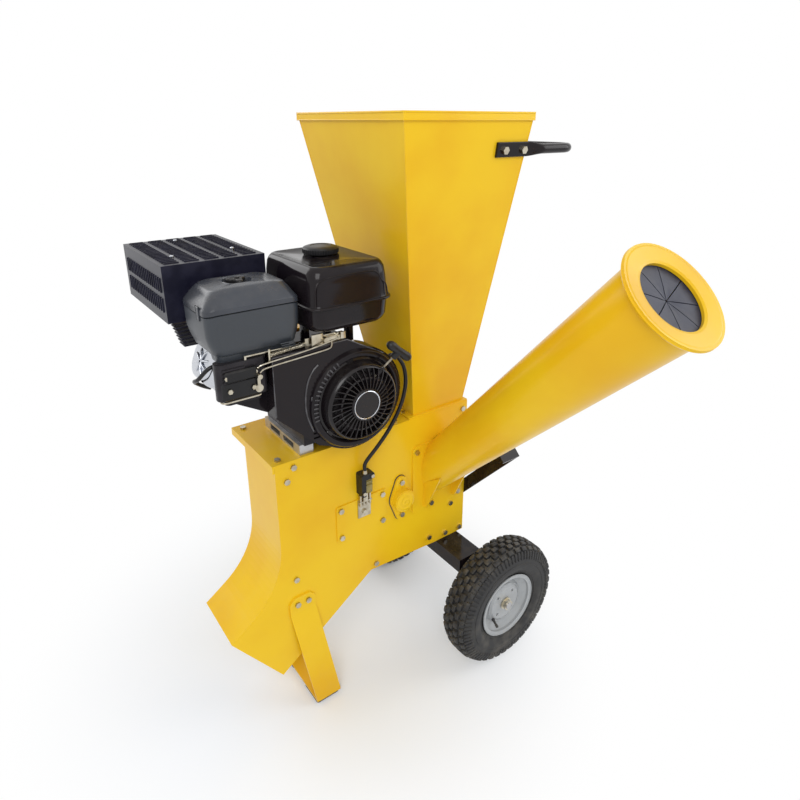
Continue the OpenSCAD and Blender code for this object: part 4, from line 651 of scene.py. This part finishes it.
# Rims: two pressed halves on a hub tube, silver paint, with a rubber valve through the dish.
# A rolled bead holds the tyre, and a second line rings the hub.
rim_paint = finish("rim_paint", (0.36, 0.375, 0.385), (0.27, 0.28, 0.29), 20.0, 0.5, 0.30, 0.15,
                   coarse=220.0, fine=900.0, bump=0.10, bump_distance=0.0005, coat=0.2)
wear(rim_paint, "near_rim", "far_rim")
for side_name, wheel_y, out in (("near", wheel_ys["near"], -1), ("far", wheel_ys["far"], 1)):
    valve_foot = np.array([axle_x - 40, wheel_y + out * 23, axle_z - 38])
    stem = turned([(4.5, -2), (4.5, 3), (3.2, 5), (3.0, 16), (3.9, 16.5), (3.9, 24), (3.0, 25)],
                  valve_foot, (0, out, 0) if out > 0 else (-0.25, -0.95, -0.2), 20, looped=False)
    valve = piece(side_name + "_valve", tyre_rubber, [stem])
    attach(valve, side_name + "_wheel")
    wheel_centre = (axle_x, wheel_y, axle_z)
    beads = piece(side_name + "_rim_bead", rim_paint,
                  [rod(ring_points(wheel_centre, 90.2, out * 37.2), 1.8, 10, looped=True),
                   rod(ring_points(wheel_centre, 56, out * 21.4), 1.5, 8, looped=True)])
    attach(beads, side_name + "_wheel")

# Stub axles: bright turned steel, welded into the ends of the square beam. The wheels run on them,
# each by itself.
steel = finish("bright_steel", (0.46, 0.46, 0.47), (0.30, 0.29, 0.28), 26.0, 0.6, 0.30, 0.10,
               coarse=300.0, fine=1400.0, bump=0.12, bump_distance=0.0003, metallic=1.0)
wear(steel, "stub_axles")

# Rotor: forged disc with ground knives, hammers swinging on pins, and the anvil in the housing.
# The steel is left bare, darkened a little by sap and dust.
tool_steel = finish("tool_steel", (0.34, 0.34, 0.36), (0.20, 0.17, 0.14), 34.0, 0.7, 0.28, 0.12,
                    coarse=340.0, fine=1400.0, bump=0.14, bump_distance=0.0003, metallic=1.0)
wear(tool_steel, "chipper_knives", "hammers_1", "hammers_2", "hammers_3", "hammers_4", "anvil")
wear(steel, "rotor_shaft", "rotor_disc", "hammer_pins")

# Bearing housings: two-bolt castings; the near one is painted yellow and closed by a pressed cap
# with an embossed ring and a centre dimple. A dark gasket shows behind its flange.
bearing_x, bearing_z, bearing_cap_y = 16.0, 500.0, 108.8
boss_r, ear_r, ear_z = 34.6, 17.6, 47.5
wear(yellow_paint, "near_bearing")
lobes = np.array([(0, 0, boss_r), (0, ear_z, ear_r), (0, -ear_z, ear_r)])
round_turn = np.linspace(0, 2 * np.pi, 72, endpoint=False)
outward = np.column_stack([np.cos(round_turn), np.sin(round_turn)])
widest = lobes[np.argmax(outward @ lobes[:, :2].T + lobes[:, 2], axis=1)]
gasket = piece("bearing_gasket", rubber,
               [slab(widest[:, :2] + outward * widest[:, 2:], [(0, 0), (1.8, 0), (2.0, 0.4)],
                     (bearing_x, near_face, bearing_z), (0, -1, 0))])
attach(gasket, "chassis")
wear(black_paint, "far_bearing")
cap_profile = [(27, 0), (27, 1.2), (24, 3.2), (17, 4.6), (14.5, 3.8), (12, 3.8), (9.5, 5),
               (4, 5.2), (2.5, 4.4)]
bearing_cap = piece("bearing_cap", yellow_paint,
                    [turned(cap_profile, (bearing_x, bearing_cap_y, bearing_z), (0, -1, 0), 64,
                            looped=False)])
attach(bearing_cap, "chassis")

# Belt drive at the back: two rubber V-belts round cast pulleys, under a pressed guard on
# standoffs. A belt's section is a trapezium that narrows into the groove. The guard's edge is
# rolled over, and three screws with washers hold it.
belt_z0, belt_z1, belt_r0, belt_r1, pulley_x = 500.0, 842.0, 72.0, 52.0, -138.0
belt_ys = (378.9, 399.9)
wear(black_paint, "rotor_pulley", "engine_pulley")
wear(steel, "guard_standoffs", "crankshaft")
wear(yellow_paint, "belt_guard")


def round_pulleys(radius0, radius1):
    """Middle, outward direction and radius at points of two arcs, which straight runs join."""
    a, b = np.array([bearing_x, belt_z0]), np.array([pulley_x, belt_z1])
    gap = np.linalg.norm(b - a)
    heading = math.atan2(b[1] - a[1], b[0] - a[0])
    spread = math.acos((radius0 - radius1) / gap)
    arc_a = heading + np.linspace(spread, 2 * np.pi - spread, 40)
    arc_b = heading + np.linspace(-spread, spread, 30)
    normal = np.concatenate([arc_a, arc_b])
    mid = np.concatenate([np.repeat(a[None], 40, 0), np.repeat(b[None], 30, 0)])
    reach = np.concatenate([np.full(40, radius0), np.full(30, radius1)])
    return mid, np.column_stack([np.cos(normal), np.sin(normal)]), reach


def belt(y):
    """Two arcs and two straight runs round the pulleys; each point carries a trapezium."""
    mid, out, reach = round_pulleys(belt_r0, belt_r1)
    section = np.array([(0, -5.6), (0.6, 0), (0, 5.6), (-3, 5.2), (-8.6, 3.4), (-8.6, -3.4),
                        (-3, -5.2)])
    rings = mid[:, None] + out[:, None] * (reach[:, None, None] + section[None, :, :1])
    return loft(np.stack([rings[..., 0], np.broadcast_to(y + section[:, 1], rings.shape[:2]),
                          rings[..., 1]], -1), True)


belts = piece("v_belts", rubber, [belt(y) for y in belt_ys])
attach(belts, "chassis")
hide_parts("drive_belts")
guard_back, guard_r0, guard_r1, roll_in, roll_sunk, roll_r = 429.9, 110.0, 84.0, 1.2, 0.9, 2.1
mid, out, reach = round_pulleys(guard_r0 - roll_in, guard_r1 - roll_in)
edge = mid + out * reach[:, None]
guard_seam = piece("guard_seam", yellow_paint,
                   [rod(np.column_stack([edge[:, 0], np.full(len(edge), guard_back - roll_sunk),
                                         edge[:, 1]]), roll_r, 8, looped=True)])
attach(guard_seam, "chassis")
guard_screws = []
for dx, dz in ((-62, -62), (72, 52), (-124, 61)):
    foot = (bearing_x + dx, guard_back, bearing_z + dz)
    for profile, turns in (([(9.5, 0.2), (9.5, 1.8), (8.8, 2.3), (1, 2.3)], 28),
                           ([(6.9, 2.2), (6.9, 7), (6, 7.9), (1, 8)], 6)):
        guard_screws.append(turned(profile, foot, "y", turns, looped=False))
screws = piece("guard_screws", steel, guard_screws)
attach(screws, "chassis")

# Engine feet: cast aluminium rails, left bare, with a machined top. The engine is bolted on them,
# and they stand on the deck.
aluminium = finish("rail_aluminium", (0.52, 0.52, 0.53), (0.36, 0.35, 0.34), 30.0, 0.7, 0.38, 0.15,
                   coarse=300.0, fine=1200.0, bump=0.22, bump_distance=0.0005, metallic=0.9)
wear(aluminium, "engine_rails")

# Crankcase, finned barrel and head: one dark painted aluminium casting with a sandy skin.
# The flywheel behind the fan's intake has the same finish.
casting = finish("engine_casting", (0.014, 0.012, 0.015), (0.034, 0.031, 0.036), 22.0, 0.7, 0.42,
                 0.10, coarse=260.0, fine=1100.0, bump=0.25, bump_distance=0.0006, metallic=0.3,
                 specular=0.3)
wear(casting, "crankcase", "flywheel")

# Valve cover: pressed steel dome, bright plated, with a rolled flange and an embossed star.
# It stands square to the cylinder, which leans back 21 degrees; a breather hose loops over it.
bright_cover = finish("bright_cover", (0.60, 0.62, 0.66), (0.46, 0.48, 0.53), 16.0, 0.5, 0.20,
                      0.05, coarse=90.0, fine=900.0, bump=0.04, bump_distance=0.0004, metallic=1.0)
black_plastic = finish("black_plastic", (0.009, 0.009, 0.010), (0.018, 0.017, 0.019), 12.0, 0.5,
                       0.34, 0.06, coarse=420.0, fine=1500.0, bump=0.12, bump_distance=0.0004,
                       specular=0.3)
lean = math.radians(21)
crank = np.array([-138.0, 132.92, 842.0])
cylinder_way = np.array([-math.cos(lean), 0.0, math.sin(lean)])
cylinder_reach, cylinder_shift = 264.0, 90.0
cover_foot = crank + cylinder_way * cylinder_reach + [0, cylinder_shift, 0]
cover_axes = np.stack([np.array([0.0, -1.0, 0.0]), np.cross(cylinder_way, [0, -1.0, 0]),
                       cylinder_way])


def on_cover(points):
    """Points given as (along -Y, across, out of the cover) carried to the valve cover's place."""
    return cover_foot + np.asarray(points, float) @ cover_axes


def cover_dome():
    """Rounded rectangles on a flat flange, which shrink as they rise: sides 120 - 30 t^2 and 88 -
    26 t^2, height 5 + 31 sin(1.57 t), with t from 0 to 1."""
    t = np.linspace(0, 1, 9)
    rings = [np.column_stack([rounded(132, 100, 26), np.full(28, h)]) for h in (0, 4)]
    rings += [np.column_stack([rounded(120 - 30 * k ** 2, 88 - 26 * k ** 2, 26),
                               np.full(28, 5 + 31 * math.sin(k * 1.57))]) for k in t]
    return loft(on_cover(np.stack(rings)))


star_arm = ((46, 33, 24), (34, 25, 35.5), (15, 13, 38), (3, 3, 38))
star = []
for a in np.radians(np.arange(8) * 45 + 22):
    arm = [(along * math.cos(a), across * math.sin(a), up) for along, across, up in star_arm]
    star.append(rod(on_cover(curve(arm, 5)), 2.6, 8))
star_ring = rod(on_cover(np.column_stack([rounded(126, 94, 24), np.full(28, 5.0)])), 2.2, 8,
                looped=True)
cover = piece("valve_cover_dome", bright_cover, [cover_dome(), star_ring] + star, sharp=50)
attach(cover, "chassis")
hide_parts("valve_cover")
hose_line = curve([(58, 18, 14), (62, 4, 44), (44, -26, 52), (16, -40, 46), (2, -50, 22),
                   (4, -52, 4)], 10)
hose = piece("breather_hose", black_plastic, [rod(on_cover(hose_line), 4.2, 12)])
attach(hose, "chassis")

# Fan housing: deep-drawn steel in gloss black, with a rolled step round the starter and louvres
# punched beside it. The louvres, the shoulder and the turned edge are a paler black: partly wear,
# partly a painted highlight along these edges.
fan_centre = np.array([-138.0, 82.9, 842.0])
fan_x, fan_face, fan_z = fan_centre
shoulder_y, edge_y = 82.4, 83.5
wear(black_paint, "blower_housing")
step_ring = turned([(97, 0.2), (97, 7), (99.5, 10), (104, 11), (109, 9.6), (112.5, 5.5),
                    (114, 0.2)], fan_centre, (0, -1, 0), 128)
louvre = block((fan_x - 105, fan_face - 10.6, fan_z), 11, 3.2, 2.2, 0.8, (0, -1, 0))
side_louvres = [ringed(louvre, 15, fan_centre, "y", -62, 78)]
panel = [block((fan_x - 108.5 + i * 9, fan_face, fan_z + 17 - i * 3), 4, 34, 4.4, 1.1, (0, -1, 0))
         for i in range(4)]
shoulder = ((-228, 942), (-240, 932), (-251, 915), (-258, 892), (-261, 862), (-258, 832),
            (-246, 796))
shoulder_line = curve([(x, shoulder_y, z) for x, z in shoulder], 8)
edge_points = ((-326.5, 852), (-326.5, 978), (-157, 981.6), (-66, 931))
turned_edge = rod([(x, edge_y, z) for x, z in edge_points], 1.6, 8)
fan_details = piece("fan_housing_details", black_paint, [step_ring])
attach(fan_details, "chassis")
# Paler black: partly wear, partly a painted highlight along the louvres, the shoulder and the
# turned edge.
paler_black_wear_and_highlight = finish("paler_black_wear_and_highlight", (0.075, 0.072, 0.078), (0.030, 0.028, 0.031), 60.0, 0.7, 0.24,
                    0.05, coarse=160.0, fine=800.0, bump=0.06, bump_distance=0.0004)
louvres = piece("fan_housing_louvres", paler_black_wear_and_highlight,
                side_louvres + panel + [turned_edge, rod(shoulder_line, 2.0, 10)])
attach(louvres, "chassis")

# Recoil cover: dished pressing bolted on the fan housing. Thin blades, swept a little, stand
# between its radial slots; a bright bezel rings the plain centre disc.
recoil_way = (0, -1, 0)
skirt = turned([(96, 0.3), (96, 3.2), (91, 5), (89.5, 8), (86.5, 26), (84.5, 30.5), (80.5, 33.2),
                (78.8, 31), (82.4, 27.6), (84.3, 22), (87, 4), (87, 0.3)], fan_centre, recoil_way,
               128)
hub = turned([(37.5, 36), (37.5, 41), (36, 43.4), (33.6, 44), (32.8, 42.6), (1, 42.2)], fan_centre,
             recoil_way, 96, looped=False)
blade_count, blade_sweep, blade_t, blade_h = 34, math.radians(9), 2.6, 7.5


def recoil_blade():
    """Blade along the radius: at u from 0 to 1, r = 36.5 + 45.5 u, its outer edge 41.6 - 9.4 u^2
    off the housing, turned by blade_sweep * u."""
    u = np.linspace(0, 1, 8)[:, None]
    section = rounded(blade_t, blade_h, 1.2, 3)
    reach, depth, swing = 36.5 + 45.5 * u, 41.6 - 9.4 * u ** 2 - blade_h / 2, blade_sweep * u
    across = section[None, :, 0]
    x = reach * np.cos(swing) - across * np.sin(swing)
    z = reach * np.sin(swing) + across * np.cos(swing)
    y = -(depth + section[None, :, 1])
    return loft(fan_centre + np.stack([x, y, z], -1))


blades = ringed(recoil_blade(), blade_count, fan_centre, "y")
mid_band = turned([(60.5, 32), (60.5, 35.4), (58.5, 36), (56.5, 35.8), (56.5, 32.4)], fan_centre,
                  recoil_way, 96)
screen = turned([(86, 10), (86, 12), (1, 12)], fan_centre, recoil_way, 64, looped=False)
boss_way = np.array([0.604, -0.342, 0.720])
boss_foot = np.array([-138.0, 90.92, 842.0])
rope_boss = turned([(10, 72), (10, 90), (8.5, 94), (5.2, 95), (3.8, 93), (3.8, 72)], boss_foot,
                   boss_way, 32)
screw_r = 96
lugs = [turned([(9, 0.3), (9, 5), (7.6, 6.4), (1, 6.6)],
               fan_centre + [math.cos(a) * screw_r, 0, math.sin(a) * screw_r], recoil_way, 24,
               looped=False) for a in np.radians([100, 220, 340])]
cover_black = finish("recoil_black", (0.008, 0.006, 0.007), (0.014, 0.010, 0.010), 9.0, 0.6, 0.22,
                     0.03, coarse=140.0, fine=700.0, bump=0.05, bump_distance=0.0005,
                     specular=0.35)
recoil = piece("recoil_shell", cover_black,
               [skirt, hub, blades, mid_band, screen, rope_boss] + lugs, sharp=40)
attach(recoil, "chassis")
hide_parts("recoil_cover")
bezel = piece("recoil_bezel", bright_cover,
              [turned([(32.4, 42.4), (32.4, 44.2), (31.2, 45), (30, 44.2), (30, 42.4)], fan_centre,
                      recoil_way, 96)])
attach(bezel, "chassis")

# Starter grip and rope: a moulded T handle, softly waisted, on a short cord of three twisted
# strands that comes out of the recoil cover's boss.
grip_reach, grip_half, grip_r, rope_start, rope_shown = 122.3, 38, 10.2, 60, 62
strand_off, strand_r, strand_turn = 1.05, 1.35, 40
grip_foot = boss_foot + boss_way * grip_reach
grip_along = (0.766, 0, -0.643)
grip_axes = np.array([grip_along, np.cross(boss_way, grip_along)])
grip_u = np.linspace(-1, 1, 25)
bar_line = grip_foot + boss_way * 20 + grip_u[:, None] * grip_half * grip_axes[0]
bar_ends = np.sqrt(np.clip(1 - np.abs(grip_u) ** 6, 0.02, 1))
bar_radius = grip_r * bar_ends * (1 - 0.12 * np.cos(grip_u * np.pi))
grip = piece("grip_moulding", black_plastic,
             [rod(bar_line, bar_radius, 20),
              turned([(7.5, 0), (8, 2), (8.4, 10), (9.6, 16), (9.6, 22)], grip_foot, boss_way, 28,
                     looped=False)], sharp=50)
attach(grip, "starter")
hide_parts("starter_grip")
rope_braid = finish("rope_braid", (0.42, 0.38, 0.30), (0.22, 0.19, 0.15), 120.0, 0.8, 0.75, 0.0,
                    coarse=900.0, fine=2400.0, bump=0.4, bump_distance=0.0004)
rope_t = np.linspace(0, 1, 60)[:, None]
rope_line = boss_foot + boss_way * (rope_start + rope_shown * rope_t)
strands = []
for start in (0, 2 * np.pi / 3, 4 * np.pi / 3):
    twist = rope_t * strand_turn + start
    off = strand_off * (np.cos(twist) * grip_axes[0] + np.sin(twist) * grip_axes[1])
    strands.append(rod(rope_line + off, strand_r, 8))
rope = piece("rope_strands", rope_braid, strands)
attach(rope, "chassis")
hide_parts("starter_rope")

# Fuel tank: two deep-drawn shells in gloss black, folded together in a seam flange, on four feet.
# The upper shell has a flat rimmed top and an arched panel pressed into its near face.
tank_x, tank_y, tank_seam_z = -153.0, 172.4, 1064.0
cap_x, cap_y = -148.0, 194.9


def stacked(origin, levels, steps=8):
    """Skin over rounded rectangles: each level is (height, centre x, centre y, length, width,
    corner radius, arch) from the origin, and arch lifts a ring by arch * (1 - (2 x /
    length)^2)."""
    rings = []
    for dz, dx, dy, length, width, radius, arch in levels:
        x, y, z = origin[0] + dx, origin[1] + dy, origin[2] + dz
        flat = rounded(length, width, radius, steps)
        rings.append(np.column_stack([flat + [x, y],
                                      z + arch * (1 - (2 * flat[:, 0] / length) ** 2)]))
    return loft(np.stack(rings))


def shell(rows):
    """Levels of the tank about its own centre, with heights from its seam."""
    return stacked((tank_x, tank_y, tank_seam_z),
                   [(z, 0, 0, length, width, radius, 0) for z, length, width, radius in rows])


lower_shell = shell([(-52, 150, 195, 26), (-50, 164, 209, 30), (-44, 176, 221, 32),
                     (-34, 184, 229, 32), (-4, 187, 232, 30), (0, 190, 235, 30)])
upper_shell = shell([(3, 190, 235, 30), (7, 187, 232, 30), (46, 184, 229, 30),
                     (66, 178, 223, 28), (74, 170, 215, 26), (79, 160, 205, 22),
                     (80.5, 152, 197, 20), (79, 146, 191, 18), (78.5, 30, 50, 8)])
seam_flange = shell([(-1, 198, 243, 32), (0, 200, 245, 33), (3, 200, 245, 33), (4, 198, 243, 32)])
tank_near_y = tank_y - 115.6
panel_arch = ((-88, 8), (-86, 40), (-72, 58), (-30, 62), (40, 62), (58, 56), (68, 40), (78, 30),
              (82, 8))
panel_line = curve([(x, 0, z) for x, z in panel_arch], 8)
panel_line += [tank_x, tank_near_y - 0.2, tank_seam_z]
panel_line[:, 1] += 3.0 * (panel_line[:, 2] - tank_seam_z) / 70
neck = turned([(22, 1143), (22, 1151), (20, 1152), (1, 1152)], (cap_x, cap_y, 0), "z", 40,
              looped=False)
tank_feet = [block((x, y, 931.5), 14, 20, 84, 1) for x in (-208, -98) for y in (172.9, 272.9)]
tank = piece("tank_shells", black_paint,
             [lower_shell, upper_shell, seam_flange, rod(panel_line, 1.5, 8), neck] + tank_feet,
             sharp=50)
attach(tank, "chassis")
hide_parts("fuel_tank")

# Filler cap: moulded in black plastic, knurled on its edge, with a shallow crown. It sits on the
# tank's neck and comes off by a quarter turn.
cap_place, knurl_r, knurl_count = (cap_x, cap_y, 1145.3), 37.6, 44
crown = turned([(37, 0), (38, 1.5), (38, 10.5), (36.5, 12.5), (30, 14.8), (22, 15.6), (21, 14.6),
                (2, 14.8)], cap_place, "z", 96, looped=False)
knurl = ringed(block((cap_x + knurl_r, cap_y, 1146.5), 2.6, 3.4, 9.5, 0.7), knurl_count, cap_place,
               "z")
cap = piece("filler_cap_moulding", black_plastic, [crown, knurl], sharp=35)
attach(cap, "filler_cap")
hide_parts("fuel_cap")

# Air cleaner: two satin grey mouldings. The lower body narrows to its base; the roof arches over
# it behind an open seam, darkens on its chamfer and is dished for the wing knob.
grey_plastic = finish("grey_plastic", (0.040, 0.047, 0.058), (0.030, 0.034, 0.040), 7.0, 0.5, 0.40,
                      0.10, coarse=420.0, fine=1500.0, bump=0.14, bump_distance=0.0004)
roof_plastic = finish("roof_plastic", (0.030, 0.033, 0.042), (0.056, 0.064, 0.080), 6.0, 0.5, 0.26,
                      0.06, coarse=420.0, fine=1500.0, bump=0.12, bump_distance=0.0004)
box_place = box_x, box_y, box_z = -349.0, 156.9, 998.0
lower_box = stacked(box_place, [(-14, -2, -32, 146, 42, 12, 0), (-1, -2, -32, 150, 46, 12, 0),
                                (0, 2, 0, 160, 118, 18, 0), (3, 2, 0, 168, 124, 20, 0),
                                (22, 1, 0, 180, 131, 21, 0), (40, 0, 0, 187, 136, 20, 0),
                                (68, 0, 0, 189, 137, 20, 5), (78, 0, 0, 189, 137, 20, 8),
                                (79.5, 0, 0, 184, 132, 18, 8)])
roof = stacked(box_place, [(80, 0, 0, 184, 132, 18, 8), (81, 0, 0, 190.5, 138.5, 20, 8),
                           (90, 0, 0, 190, 138, 20, 8), (93, 0, 0, 187, 135, 20, 8),
                           (112, 1, 2, 163, 109, 22, 9), (119, 2, 3, 152, 98, 22, 7),
                           (121.5, 2, 3, 140, 88, 22, 5.5), (124, -1, 3, 62, 62, 31, 2.5),
                           (125, -3, 3, 56, 56, 28, 0), (116, -3, 3, 52, 52, 26, 0)])
front_ribs = rowed(block((box_x + 60, box_y - 68, box_z + 3), 30, 3, 2.4, 0.8), 4, (2, 0.6, -4.4))
clips = [block((box_x + dx, box_y + dy, box_z + 70), 3, 16, 26, 1.2)
         for dx, dy in ((95.5, 6), (-95.5, -30))]
cleaner = piece("air_cleaner_body", grey_plastic, [lower_box, front_ribs], sharp=35)
cleaner_roof = piece("air_cleaner_roof", roof_plastic, [roof] + clips, sharp=24)
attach(cleaner, "chassis")
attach(cleaner_roof, "chassis")
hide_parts("air_cleaner")

# Wing knob: three rounded lobes moulded in one in black plastic. It turns on a stud in the dish
# and holds the air cleaner's roof down.
knob_place = np.array([box_x - 3.0, box_y + 3.0, box_z + 116.3])
lobe_a = np.linspace(0, 2 * np.pi, 73)[:-1]
lobe_r = 13.5 + 8.5 * np.clip(np.cos(3 * (lobe_a - math.radians(30))), -0.35, 1)
lobe = np.column_stack([lobe_r * np.cos(lobe_a), lobe_r * np.sin(lobe_a)])
knob_levels = [(0, 0.62), (3, 0.62), (4, 0.95), (9, 1.0), (11.5, 0.93), (12.4, 0.80)]
knob_rings = np.stack([np.column_stack([lobe * k, np.full(72, h)]) for h, k in knob_levels])
knob = piece("wing_knob", black_plastic,
             [loft(knob_rings + knob_place),
              turned([(5, 12), (5, 14.5), (3.6, 15.4), (1, 15.5)], knob_place, "z", 24,
                     looped=False)], sharp=45)
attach(knob, "cleaner_knob")
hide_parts("air_knob")

# Carburettor: a dark casting with a moulded cover that four bright screws hold over a plated rim.
# Two bent control rods, a return spring and small zinc-plated brackets run across above it.
zinc = finish("yellow_zinc", (0.60, 0.56, 0.46), (0.38, 0.33, 0.24), 60.0, 0.7, 0.28, 0.08,
              coarse=420.0, fine=1600.0, bump=0.10, bump_distance=0.0003, metallic=1.0)
wear(casting, "carburettor")
wear(zinc, "throttle_lever", "choke_lever", "control_linkage")
carb_x, carb_y, carb_z = -383.0, 88.9, 922.0
cover_x = carb_x - 6
carb_cover = [block((cover_x, carb_y + 8, carb_z - 12), 78, 16, 38, 3),
              block((cover_x, carb_y, carb_z + 26), 66, 12, 22, 3)]
carb_rim = rod(np.column_stack([rounded(80, 18, 8, 6) + [cover_x, carb_y + 9],
                                np.full(28, carb_z - 14)]), 2.0, 8, looped=True)
carb_screws = [turned([(5.5, 0), (5.5, 3), (4.2, 4.4), (1, 4.4)],
                      (carb_x + dx, carb_y - 1, carb_z + dz), (0, -1, 0), 6, looped=False)
               for dx, dz in ((-30, 8), (18, 6), (-34, 36), (22, 38))]
spring_t = np.linspace(0, 1, 220)
spring_x, spring_y, spring_z = -330, 84, 986
spring_length, spring_rise, coil_r, coil_turn = 74, 6, 3.4, 150
spring_line = np.column_stack([spring_x + spring_length * spring_t,
                               spring_y + coil_r * np.cos(spring_t * coil_turn),
                               spring_z + spring_rise * spring_t
                               + coil_r * np.sin(spring_t * coil_turn)])
bent_rod = curve([(-352, 86, 955), (-336, 84, 962), (-262, 81, 968), (-206, 80, 972),
                  (-196, 80, 978), (-196, 80, 990)], 10)
long_rod = curve([(-356, 86, 966), (-340, 82, 972), (-250, 78, 981), (-178, 76, 993)], 10)
bracket_arm = [block((-226, 84, 984), 26, 3, 24, 1), block((-166, 83, 986), 12, 3, 16, 1),
               block((-330, 86, 972), 5, 3, 26, 1)]
carb_covers = piece("carburettor_cover", black_plastic, carb_cover, sharp=40)
carb_bright = piece("carburettor_fittings", zinc,
                    carb_screws + [carb_rim, rod(bent_rod, 1.7, 8), rod(long_rod, 1.5, 8),
                                   rod(spring_line, 0.8, 6)] + bracket_arm)
for part, slot_name in ((carb_covers, "black_plastic"), (carb_bright, "zinc")):
    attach(part, "chassis")

# Muffler: heat-stained drum and pipe under a black perforated guard. Narrow raised louvres cover
# the guard's top; pressed fins and pointed aprons hang below its near edge.
heat_stain = finish("muffler_steel", (0.16, 0.14, 0.13), (0.22, 0.13, 0.07), 14.0, 0.9, 0.45, 0.15,
                    coarse=200.0, fine=900.0, bump=0.15, bump_distance=0.0004, metallic=0.9)
wear(heat_stain, "muffler")
guard_black = finish("guard_black", (0.008, 0.008, 0.018), (0.022, 0.022, 0.040), 30.0, 0.6, 0.30,
                     0.06, coarse=260.0, fine=900.0, bump=0.12, bump_distance=0.0004,
                     specular=0.16)
wear(guard_black, "muffler_guard")
guard_x, guard_y, guard_top = -469.0, 237.9, 1150.0
row_gap, fin_gap, fin_start, side_row_z = 40, 14, 16.5, 1070
ridge_count, ridge_h, ridged_r = 9, 1.1, 9.5
top_louvre = slab(rounded(30, 3.2, 1.2, 3), [(-1, 0), (1.4, 0.2), (2.4, 1.1)])
louvre_rows = []
for row in range(5):
    spot = (top_louvre[0] + [guard_x + 25 + row * row_gap, guard_y + fin_start, guard_top],
            top_louvre[1])
    louvre_rows.append(rowed(spot, 19, (0, fin_gap, 0)))
side_fin = slab(rounded(3.2, 30, 1.2, 3), [(-1, 0), (1.4, 0.2), (2.4, 1.1)], (0, 0, 0), (-1, 0, 0))
for row in range(2):
    spot = (side_fin[0] + [guard_x, guard_y + fin_start, side_row_z + row * row_gap], side_fin[1])
    louvre_rows.append(rowed(spot, 18, (0, fin_gap, 0)))
apron = [slab(np.array([(-15.0, 0), (-13, -26), (0, -46), (13, -26), (15, 0)]), [(0, 0), (1.6, 0)],
              (guard_x + x, guard_y + 1.8, 1037), np.array([0, -1.0, 0])) for x in (92, 168)]
hanging_fins = rowed(block((guard_x + 34, guard_y + 22, 1028), 44, 34, 2.2, 0.8), 7, (2.5, 0, -8))
guard_details = piece("guard_louvres", guard_black, louvre_rows + apron + [hanging_fins])
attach(guard_details, "chassis")
tube_line = np.column_stack([np.full(60, guard_x + 118), np.full(60, guard_y - 6),
                             np.linspace(1046, 1098, 60)])
ridged_tube = rod(tube_line,
                  ridged_r + ridge_h * np.cos(np.linspace(0, 2 * np.pi * ridge_count, 60)), 24)
small_fittings = [turned([(4.2, 0), (4.2, 5), (3, 6.5), (1, 6.5)],
                         (guard_x + dx, guard_y + dy, guard_top), "z", 12, looped=False)
                  for dx, dy in ((40, 60), (170, 70), (100, 230))]
guard_bright = piece("guard_fittings", bright_cover, [ridged_tube] + small_fittings)
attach(guard_bright, "chassis")

# Interlock: black switch body with a plain contact block, on a zinc-plated key that is screwed
# to the cover.
wear(black_plastic, "stop_switch")
wear(zinc, "switch_key")
contact_paint = finish("contact_block", (0.30, 0.24, 0.07), (0.20, 0.16, 0.05), 60.0, 0.5, 0.4,
                       0.1)
contact_x = -93
contact = piece("switch_contact", contact_paint, [block((contact_x, 114.5, 568), 22, 11, 40, 1.6)]
                + [block((contact_x, 112, z), 16, 14, 3, 0.8) for z in (590, 600)])
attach(contact, "chassis")

# Stop cable: black sleeved lead from the engine, past the starter's side, down to the switch,
# where it ends in a plated plug. Its route is measured from the foot of the crankshaft's axis.
cable_origin, cable_r, plug_place = [319, -132.92, 0], 4.6, (-100, 114.9, 616)
cable_route = np.array([[281.5, -26, 904.5], [290, -26, 910], [303, -30, 906], [317, -38, 882],
                        [321, -42, 846], [314, -44, 810], [298, -44, 772], [273, -40, 730],
                        [246, -34, 694], [226, -24, 664], [219, -18, 646], [219, -18, 631],
                        [219, -18, 614]]) - cable_origin
cable = piece("cable_sleeve", black_plastic, [rod(curve(cable_route, 10), cable_r, 16)], sharp=60)
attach(cable, "chassis")
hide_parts("stop_cable")
plug = piece("cable_plug", zinc,
             [turned([(5.4, -4), (5.8, 0), (5.8, 9), (5.2, 10), (5.2, 14), (4.8, 15)], plug_place,
                     "z", 24, looped=False)])
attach(plug, "chassis")

# Fasteners: zinc-plated steel screws, bolts and nuts, with their washers, all as the frame has
# them. They hold the hopper, cone, cover, handle, brace, engine and guards.
wear(zinc, "fasteners")
